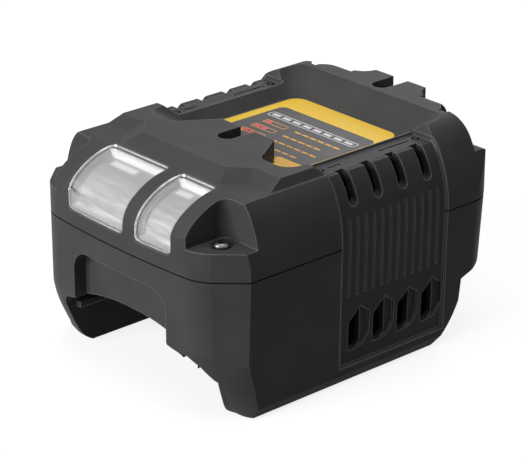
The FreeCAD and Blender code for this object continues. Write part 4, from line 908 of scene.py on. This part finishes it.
class PatternTree(NodeTree):
    """A geometry-node tree that repeats a small shape, with named inputs for its sizes."""

    def __init__(self, name: str) -> None:
        """Starts an empty tree that gives back geometry.

        Args:
            name: The tree's name.
        """
        super().__init__(bpy.data.node_groups.new(name, "GeometryNodeTree"))
        self.tree.is_modifier = True
        self.tree.interface.new_socket("Geometry", in_out="OUTPUT", socket_type="NodeSocketGeometry")
        self.entry = self.tree.nodes.new("NodeGroupInput")
        self.exit = self.tree.nodes.new("NodeGroupOutput")
        self.values: dict[str, Any] = {}

    def take(self, name: str, kind: str, value: Any) -> Socket:
        """Adds a named input.

        Args:
            name: The input's name.
            kind: Its socket type, such as Int or Vector.
            value: The value that it gets.

        Returns:
            The socket to join from.
        """
        socket = self.tree.interface.new_socket(name, in_out="INPUT", socket_type="NodeSocket" + kind)
        self.values[socket.identifier] = value
        return self.entry.outputs[name]

    def finish(self, shape: Socket, finish: Palette) -> None:
        """Ends the tree in real geometry with its finish.

        Args:
            shape: The geometry socket.
            finish: The finish of the whole pattern.
        """
        material = self.take("Finish", "Material", finish.get())
        real = self.add("GeometryNodeRealizeInstances", {}, {"Geometry": shape})
        dressed = self.add("GeometryNodeSetMaterial", {}, {
            "Geometry": real.outputs["Geometry"], "Material": material,
        })
        self.tree.links.new(dressed.outputs["Geometry"], self.exit.inputs["Geometry"])

    def mesh(self) -> Mesh:
        """Runs the tree once.

        Returns:
            Its result as a plain mesh.
        """
        holder = new_object(self.tree.name, bpy.data.meshes.new(self.tree.name))
        modifier = holder.modifiers.new("pattern", "NODES")
        modifier.node_group = self.tree
        for identifier, value in self.values.items():
            modifier[identifier] = value
        graph = bpy.context.evaluated_depsgraph_get()
        made = bpy.data.meshes.new_from_object(holder.evaluated_get(graph))
        holder.modifiers.remove(modifier)
        bpy.data.objects.remove(holder)
        return made


def grid_mesh(name: str, finish: Palette, counts: tuple[int, int], start: Triple,
              steps: tuple[Triple, Triple], size: Triple) -> Mesh:
    """Repeats a block in rows.

    Args:
        name: The pattern's name.
        finish: Its finish.
        counts: How many there are along each of the two steps.
        start: The first one's centre in millimetres.
        steps: The two steps in millimetres.
        size: A block's size in millimetres.

    Returns:
        The pattern's mesh.
    """
    made = PatternTree(name)
    first = made.add("GeometryNodeMeshLine", {"mode": "OFFSET"}, {
        "Count": made.take("First count", "Int", counts[0]),
        "Start Location": made.take("Start", "Vector", [v * MM for v in start]),
        "Offset": made.take("First step", "Vector", [v * MM for v in steps[0]]),
    })
    second = made.add("GeometryNodeMeshLine", {"mode": "OFFSET"}, {
        "Count": made.take("Second count", "Int", counts[1]),
        "Offset": made.take("Second step", "Vector", [v * MM for v in steps[1]]),
    })
    rows = made.add("GeometryNodeInstanceOnPoints", {}, {
        "Points": first.outputs["Mesh"], "Instance": second.outputs["Mesh"],
    })
    points = made.add("GeometryNodeRealizeInstances", {}, {"Geometry": rows.outputs["Instances"]})
    shape = made.add("GeometryNodeMeshCube", {}, {
        "Size": made.take("Size", "Vector", [v * MM for v in size]),
    })
    placed = made.add("GeometryNodeInstanceOnPoints", {}, {
        "Points": points.outputs["Geometry"], "Instance": shape.outputs["Mesh"],
    })
    made.finish(placed.outputs["Instances"], finish)
    return made.mesh()


@dataclass
class Housing(SubAssembly):
    """The moulded housing: base, cover, side panels, screws and feet."""

    finishes: Finishes = field(default_factory=lambda: {
        "base_shell": Palette.HOUSING,
        "top_cover": Palette.HOUSING,
        "side_panel_right": Palette.PANEL,
        "side_panel_left": Palette.PANEL,
        "housing_screws": Palette.BLACK_SCREW,
        "foot_pads": Palette.RUBBER,
    })


@dataclass
class RatingLabel(SubAssembly):
    """The printed label on the pocket's floor, with plain charge signs and no words."""

    finishes: Finishes = field(default_factory=lambda: {"label": Palette.YELLOW})
    floor_z: float = 81.3
    ink: float = 0.03
    panel: Box = (-25.4, 29.4, -11.9, 33.2)
    panel_radius: float = 3.0
    panel_front_step: float = 6.5
    notch_rear_y: float = 4.5
    notch: tuple[Point, ...] = ((-16.6, 4.5), (-13.8, -7.6), (13.8, -7.6), (15.2, -5.4))
    patch: Box = (15.3, 27.4, -10.3, -6.2)
    patch_radius: float = 1.0
    bar: Box = (-23.4, 26.8, 22.0, 26.4)
    bar_radius: float = 1.2
    bar_line: float = 0.45
    bar_blocks: int = 8
    bar_block_first: float = 4.0
    bar_block_step: float = 6.0
    bar_block_size: Point = (4.4, 1.8)
    row_first_y: float = 16.9
    row_step: float = 6.3
    row_count: int = 4
    gauge_count: int = 3
    gauge_x: Range = (-18.4, -5.6)
    gauge_height: float = 3.2
    gauge_line: float = 0.35
    gauge_radii: Range = (0.5, 0.2)
    cell_first: float = 2.4
    cell_step: float = 3.9
    cell_width: float = 3.2
    cell_gap: float = 1.4
    rule_first_x: float = 1.2
    rule_step: float = 4.4
    rule_blocks: int = 6
    rule_block_size: Point = (3.5, 1.1)

    def layer(self, number: int) -> Range:
        """Returns the underside and top of one layer of ink, counted from 1."""
        return self.floor_z + self.ink * (number - 1), self.floor_z + self.ink * number

    def print_ring(self, name: str, box: Box, line: float, radii: Range, finish: Palette) -> None:
        """Prints a rounded rectangle's outline in the second layer of ink.

        Args:
            name: The form's name.
            box: Its left, right, front and rear edges.
            line: The line's width.
            radii: The corners' radii outside and inside the line.
            finish: Its ink.
        """
        x0, x1, y0, y1 = box
        outer = round_rectangle(x0, x1, y0, y1, radii[0])
        inner = round_rectangle(x0 + line, x1 - line, y0 + line, y1 - line, radii[1])
        place_piece(name, frame_mesh(name, outer, inner, *self.layer(2)), finish)

    def print_blocks(self, name: str, count: int, first: Point, step: float, size: Point,
                     finish: Palette) -> None:
        """Prints a row of plain blocks in the second layer of ink.

        Args:
            name: The row's name.
            count: How many blocks it has.
            first: The first block's centre.
            step: The distance from one block to the next.
            size: A block's width and height.
            finish: Its ink.
        """
        low, high = self.layer(2)
        steps = ((step, 0.0, 0.0), (0.0, 0.0, 0.0))
        start = (*first, (low + high) / 2)
        blocks = grid_mesh(name, finish, (count, 1), start, steps, (*size, high - low))
        place_piece(name, blocks, finish)

    def build(self) -> None:
        """Builds the ink on the sheet, layer by layer."""
        self.dress()
        panel = plate_mesh("label_panel", self.panel_outline(), *self.layer(1))
        place_piece("label_panel", panel, Palette.CHARCOAL)
        outline = round_rectangle(*self.patch, self.patch_radius)
        patch = plate_mesh("label_patch", outline, *self.layer(1))
        place_piece("label_patch", patch, Palette.AMBER_INK)
        self.build_bar()
        for row in range(self.row_count):
            y = self.row_first_y - row * self.row_step
            if row < self.gauge_count:
                self.build_gauge(row + 1, y)
            self.print_blocks(
                f"label_rule_{row + 1}", self.rule_blocks - row % 2, (self.rule_first_x, y),
                self.rule_step, self.rule_block_size, Palette.AMBER_INK,
            )

    def panel_outline(self) -> list[Point]:
        """Lists the dark panel's outline, which leaves room for the tongue over its front.

        Returns:
            The outline's points, anticlockwise.
        """
        x0, x1, y0, y1 = self.panel
        radius = self.panel_radius
        return (
            arc_points((x1 - radius, y0 + self.panel_front_step + radius), radius, -90, 0)
            + arc_points((x1 - radius, y1 - radius), radius, 0, 90)
            + arc_points((x0 + radius, y1 - radius), radius, 90, 180)
            + [(x0, self.notch_rear_y), *self.notch]
        )

    def build_bar(self) -> None:
        """Builds the outlined bar and the plain blocks inside it."""
        x0, _, y0, y1 = self.bar
        radii = (self.bar_radius, self.bar_radius - self.bar_line)
        self.print_ring("label_bar", self.bar, self.bar_line, radii, Palette.WHITE_INK)
        self.print_blocks(
            "label_bar_blocks", self.bar_blocks, (x0 + self.bar_block_first, (y0 + y1) / 2),
            self.bar_block_step, self.bar_block_size, Palette.WHITE_INK,
        )

    def build_gauge(self, cells: int, y: float) -> None:
        """Builds one charge gauge.

        Args:
            cells: How many of its cells are full, which is also its number.
            y: Its middle.
        """
        half = self.gauge_height / 2
        name = f"label_gauge_{cells}"
        self.print_ring(name, (*self.gauge_x, y - half, y + half), self.gauge_line, self.gauge_radii,
                        Palette.AMBER_INK)
        self.print_blocks(
            name + "_cells", cells, (self.gauge_x[0] + self.cell_first, y), self.cell_step,
            (self.cell_width, self.gauge_height - self.cell_gap), Palette.RED_INK,
        )


@dataclass
class LampUnit(SubAssembly):
    """The light box behind the front windows, with the diffusers that spread its light."""

    finishes: Finishes = field(default_factory=lambda: {
        "lens_wide": Palette.LENS,
        "lens_narrow": Palette.LENS,
        "lamp_box": Palette.LAMP_WHITE,
        "lamp_leds": Palette.LED,
        "led_board": Palette.BOARD,
    })
    front_y: float = -75.0
    lower_centre: Point = (-61.0, 67.5)
    lower_radius: float = 14.0
    upper_centre: Point = (-50.0, 54.4)
    upper_radius: float = 31.1
    knee_angle: float = 130.0
    bottom_z: float = 64.4
    top_y: float = -50.5
    wide: Range = (-30.8, 4.2)
    narrow: Range = (10.4, 31.2)
    rim_depth: float = 3.9
    basin_depth: float = 2.0
    # The basin's profile: each distance from its border, with the share of its depth there.
    steps: tuple[Point, ...] = ((0.0, 0.0), (1.2, 0.0), (1.6, 0.35), (2.2, 0.35), (2.8, 1.0))
    corner: float = 2.6
    wall: float = 0.6
    columns: int = 72
    rows: int = 60

    def lengths(self) -> tuple[float, float, float]:
        """Measures the front's outer face from the windows' sill to their top.

        Returns:
            The lengths of the straight run, the lower arc and the upper arc.
        """
        straight = self.lower_centre[1] - self.bottom_z
        lower = self.lower_radius * math.radians(180 - self.knee_angle)
        rise = math.degrees(math.acos((self.top_y - self.upper_centre[0]) / self.upper_radius))
        upper = self.upper_radius * math.radians(self.knee_angle - rise)
        return straight, lower, upper

    def front_point(self, run: float, depth: float) -> Point:
        """Finds a point behind the curved front.

        Args:
            run: The length along the front's outer face, up from the windows' sill.
            depth: How far the point is behind that face.

        Returns:
            The point's Y and Z.
        """
        straight, lower, _upper = self.lengths()
        if run < straight:
            return self.front_y + depth, self.bottom_z + run
        if run < straight + lower:
            turn = math.pi - (run - straight) / self.lower_radius
            radius = self.lower_radius - depth
            centre = self.lower_centre
        else:
            turn = math.radians(self.knee_angle) - (run - straight - lower) / self.upper_radius
            radius = self.upper_radius - depth
            centre = self.upper_centre
        return centre[0] + radius * math.cos(turn), centre[1] + radius * math.sin(turn)

    def basin(self, inside: float) -> float:
        """Finds the basin's depth at a place.

        Args:
            inside: The place's distance from the basin's border.

        Returns:
            The depth below the rim.
        """
        for (a, low), (b, high) in zip(self.steps, self.steps[1:]):
            if inside < b:
                return self.basin_depth * (low + (high - low) * (inside - a) / (b - a))
        return self.basin_depth

    def diffuser_mesh(self, name: str, span: Range) -> Mesh:
        """Makes one stepped basin that follows the curved front.

        Args:
            name: The mesh's name.
            span: The window's left and right edges.

        Returns:
            The basin as an open shell of quads.
        """
        total = sum(self.lengths())
        made = bmesh.new()
        border = made.verts.layers.float.new(RIM)
        grid = []
        for j in range(self.rows + 1):
            run = total * j / self.rows
            line = []
            for i in range(self.columns + 1):
                x = span[0] + (span[1] - span[0]) * i / self.columns
                inside = self.border_distance(x, run, span, total)
                y, z = self.front_point(run, self.rim_depth + self.basin(inside))
                line.append(made.verts.new((x * MM, y * MM, z * MM)))
                line[-1][border] = 1.0 if inside < self.steps[-2][0] else 0.0
            grid.append(line)
        for j in range(self.rows):
            for i in range(self.columns):
                made.faces.new((grid[j][i], grid[j][i + 1], grid[j + 1][i + 1], grid[j + 1][i]))
        for face in made.faces:
            face.smooth = True
        return plain_mesh(name, made)

    def border_distance(self, x: float, run: float, span: Range, total: float) -> float:
        """Measures how far a point is inside the window's rounded border.

        Args:
            x: The point's X.
            run: Its length along the front, up from the sill.
            span: The window's left and right edges.
            total: The length from the sill to the top.

        Returns:
            The distance, and 0 outside the border.
        """
        half_x = (span[1] - span[0]) / 2 - self.corner
        half_run = total / 2 - self.corner
        dx = abs(x - (span[0] + span[1]) / 2) - half_x
        dr = abs(run - total / 2) - half_run
        outside = math.hypot(max(dx, 0.0), max(dr, 0.0)) + min(max(dx, dr), 0.0)
        return max(0.0, self.corner - outside)

    def build(self) -> None:
        """Dresses the lamps and builds both diffusers."""
        self.dress()
        for name, span in (("diffuser_wide", self.wide), ("diffuser_narrow", self.narrow)):
            piece = place_piece(name, self.diffuser_mesh(name, span), Palette.REFLECTOR)
            wall = piece.modifiers.new("wall", "SOLIDIFY")
            wall.thickness = self.wall * MM
            wall.offset = -1.0


@dataclass
class MainBoard(SubAssembly):
    """The circuit board, the parts that stand on it and the wires that leave it."""

    finishes: Finishes = field(default_factory=lambda: {
        "circuit_board": Palette.BOARD,
        "board_screws": Palette.ZINC,
        "transformer_core": Palette.FERRITE,
        "transformer_coil": Palette.TAPE,
        "choke_core": Palette.FERRITE,
        "choke_winding": Palette.COPPER,
        "main_capacitor": Palette.SLEEVE,
        "output_capacitors": Palette.SLEEVE,
        "heat_sink_primary": Palette.ALUMINIUM,
        "heat_sink_secondary": Palette.ALUMINIUM,
        "power_transistors": Palette.EPOXY,
        "bridge_rectifier": Palette.EPOXY,
        "fuse_tube": Palette.FUSE_GLASS,
        "fuse_caps": Palette.NICKEL,
        "fuse_clips": Palette.NICKEL,
        "inlet_wires": Palette.WIRE,
        "fan_wires": Palette.WIRE,
        "lamp_wires": Palette.WIRE,
    })
    top_z: float = 40.6
    resistor_size: Triple = (2.0, 3.2, 0.9)
    resistor_first: Point = (8.0, -38.0)
    resistor_steps: Point = (3.2, 5.0)
    resistor_counts: tuple[int, int] = (5, 2)

    def build(self) -> None:
        """Dresses the board and adds its rows of small resistors."""
        self.dress()
        start = (*self.resistor_first, self.top_z + self.resistor_size[2] / 2)
        along, across = self.resistor_steps
        chips = grid_mesh(
            "board_resistors", Palette.EPOXY, self.resistor_counts, start,
            ((along, 0.0, 0.0), (0.0, across, 0.0)), self.resistor_size,
        )
        place_piece("board_resistors", chips, Palette.EPOXY)


@dataclass
class Cooling(SubAssembly):
    """The fan and its bracket."""

    finishes: Finishes = field(default_factory=lambda: {
        "fan_frame": Palette.FAN,
        "fan_rotor": Palette.FAN,
        "fan_bracket": Palette.ZINC,
        "fan_screws": Palette.ZINC,
    })


@dataclass
class Contacts(SubAssembly):
    """The pack's terminals under the body and the mains inlet at the rear."""

    finishes: Finishes = field(default_factory=lambda: {
        "terminal_block": Palette.BLOCK,
        "terminal_blades": Palette.CONTACT,
        "inlet_socket": Palette.BLOCK,
        "inlet_pins": Palette.CONTACT,
    })


@dataclass
class SoftBox:
    """A large soft lamp that points at the charger."""

    name: str
    place: Triple
    size: float
    power: float

    def build(self, target: Vector) -> None:
        """Adds the lamp.

        Args:
            target: The point that it faces.
        """
        data = bpy.data.lights.new(self.name, "AREA")
        data.size = self.size
        data.energy = self.power
        aim(new_object(self.name, data), self.place, Vector(self.place) - target)


@dataclass
class Studio:
    """The plain pale floor, the soft lamps and the camera at the photograph's angle."""

    azimuth: float = 48.32
    elevation: float = 23.22
    camera_place: Triple = (0.65387, -0.58227, 0.42022)
    lens_mm: float = 162.9
    clip_start: float = 0.01
    lamp_target: Triple = (0.0, 0.0, 0.045)
    ambient: float = 0.07
    floor_half: float = 3.0
    floor_thickness: float = 0.005
    floor_grey: float = 0.27
    floor_roughness: float = 0.9
    floor_shine: float = 0.1
    floor_glow: float = 0.83
    lamps: list[SoftBox] = field(default_factory=lambda: [
        SoftBox("key_lamp", (-0.2, -1.6, 0.58), 0.9, 27.0),
        SoftBox("top_lamp", (0.12, -0.1, 1.3), 0.9, 7.0),
        SoftBox("rear_lamp", (-0.75, 1.2, 0.8), 0.8, 6.5),
    ])

    def white_to_eye(self, graph: ShaderGraph, seen: Node, lit: Node) -> Node:
        """Shows one shader to the eye, in mirrors and through glass, and lights the scene with another.

        Args:
            graph: The tree of both shaders.
            seen: The shader that is seen.
            lit: The shader that gives light.

        Returns:
            The node that chooses between them.
        """
        path = graph.add("ShaderNodeLightPath")
        rays = ("Is Camera Ray", "Is Glossy Ray", "Is Transmission Ray")
        any_ray = graph.combine("MAXIMUM", *(path.outputs[ray] for ray in rays))
        return graph.add("ShaderNodeMixShader", {}, {
            0: any_ray, 1: lit.outputs[0], 2: seen.outputs[0],
        })

    def build_world(self) -> None:
        """Sets a white surround that lights the scene softly."""
        graph = ShaderGraph("surround", Owner.WORLD)
        seen = graph.add("ShaderNodeBackground", {}, {"Color": WHITE, "Strength": 1.0})
        lit = graph.add("ShaderNodeBackground", {}, {"Color": WHITE, "Strength": self.ambient})
        bpy.context.scene.world = graph.finish(self.white_to_eye(graph, seen, lit))

    def build_floor(self) -> None:
        """Lays the plain floor that carries the charger's shadow."""
        half = self.floor_half / MM
        outline = [(-half, -half), (half, -half), (half, half), (-half, half)]
        mesh = plate_mesh("floor", outline, -self.floor_thickness / MM, 0.0)
        floor = new_object("floor", mesh)
        graph = ShaderGraph("floor_paper")
        paper = graph.add("ShaderNodeBsdfPrincipled", {}, {
            "Base Color": (*(self.floor_grey,) * 3, 1.0),
            "Roughness": self.floor_roughness,
            "Specular IOR Level": self.floor_shine,
        })
        glow = graph.add("ShaderNodeEmission", {}, {"Color": WHITE, "Strength": self.floor_glow})
        both = graph.add("ShaderNodeAddShader", {}, {0: paper.outputs[0], 1: glow.outputs[0]})
        mesh.materials.append(graph.finish(self.white_to_eye(graph, both, paper)))

    def build_camera(self) -> None:
        """Puts the camera where the photograph was taken from."""
        data = bpy.data.cameras.new("camera")
        data.lens = self.lens_mm
        data.clip_start = self.clip_start
        camera = new_object("camera", data)
        turn = math.radians(self.azimuth)
        rise = math.radians(self.elevation)
        back = Vector((math.sin(turn) * math.cos(rise), -math.cos(turn) * math.cos(rise), math.sin(rise)))
        aim(camera, self.camera_place, back)
        bpy.context.scene.camera = camera

    def build(self) -> None:
        """Builds the whole studio."""
        bpy.context.scene.view_settings.view_transform = "Standard"
        self.build_world()
        self.build_floor()
        for lamp in self.lamps:
            lamp.build(Vector(self.lamp_target))
        self.build_camera()


def main() -> None:
    """Builds the charger's looks and the studio."""
    logging.basicConfig(level=logging.INFO, format="%(message)s")
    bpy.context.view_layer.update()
    Housing().dress()
    RatingLabel().build()
    LampUnit().build()
    MainBoard().build()
    Cooling().dress()
    Contacts().dress()
    Studio().build()


if __name__ == "__main__":
    main()
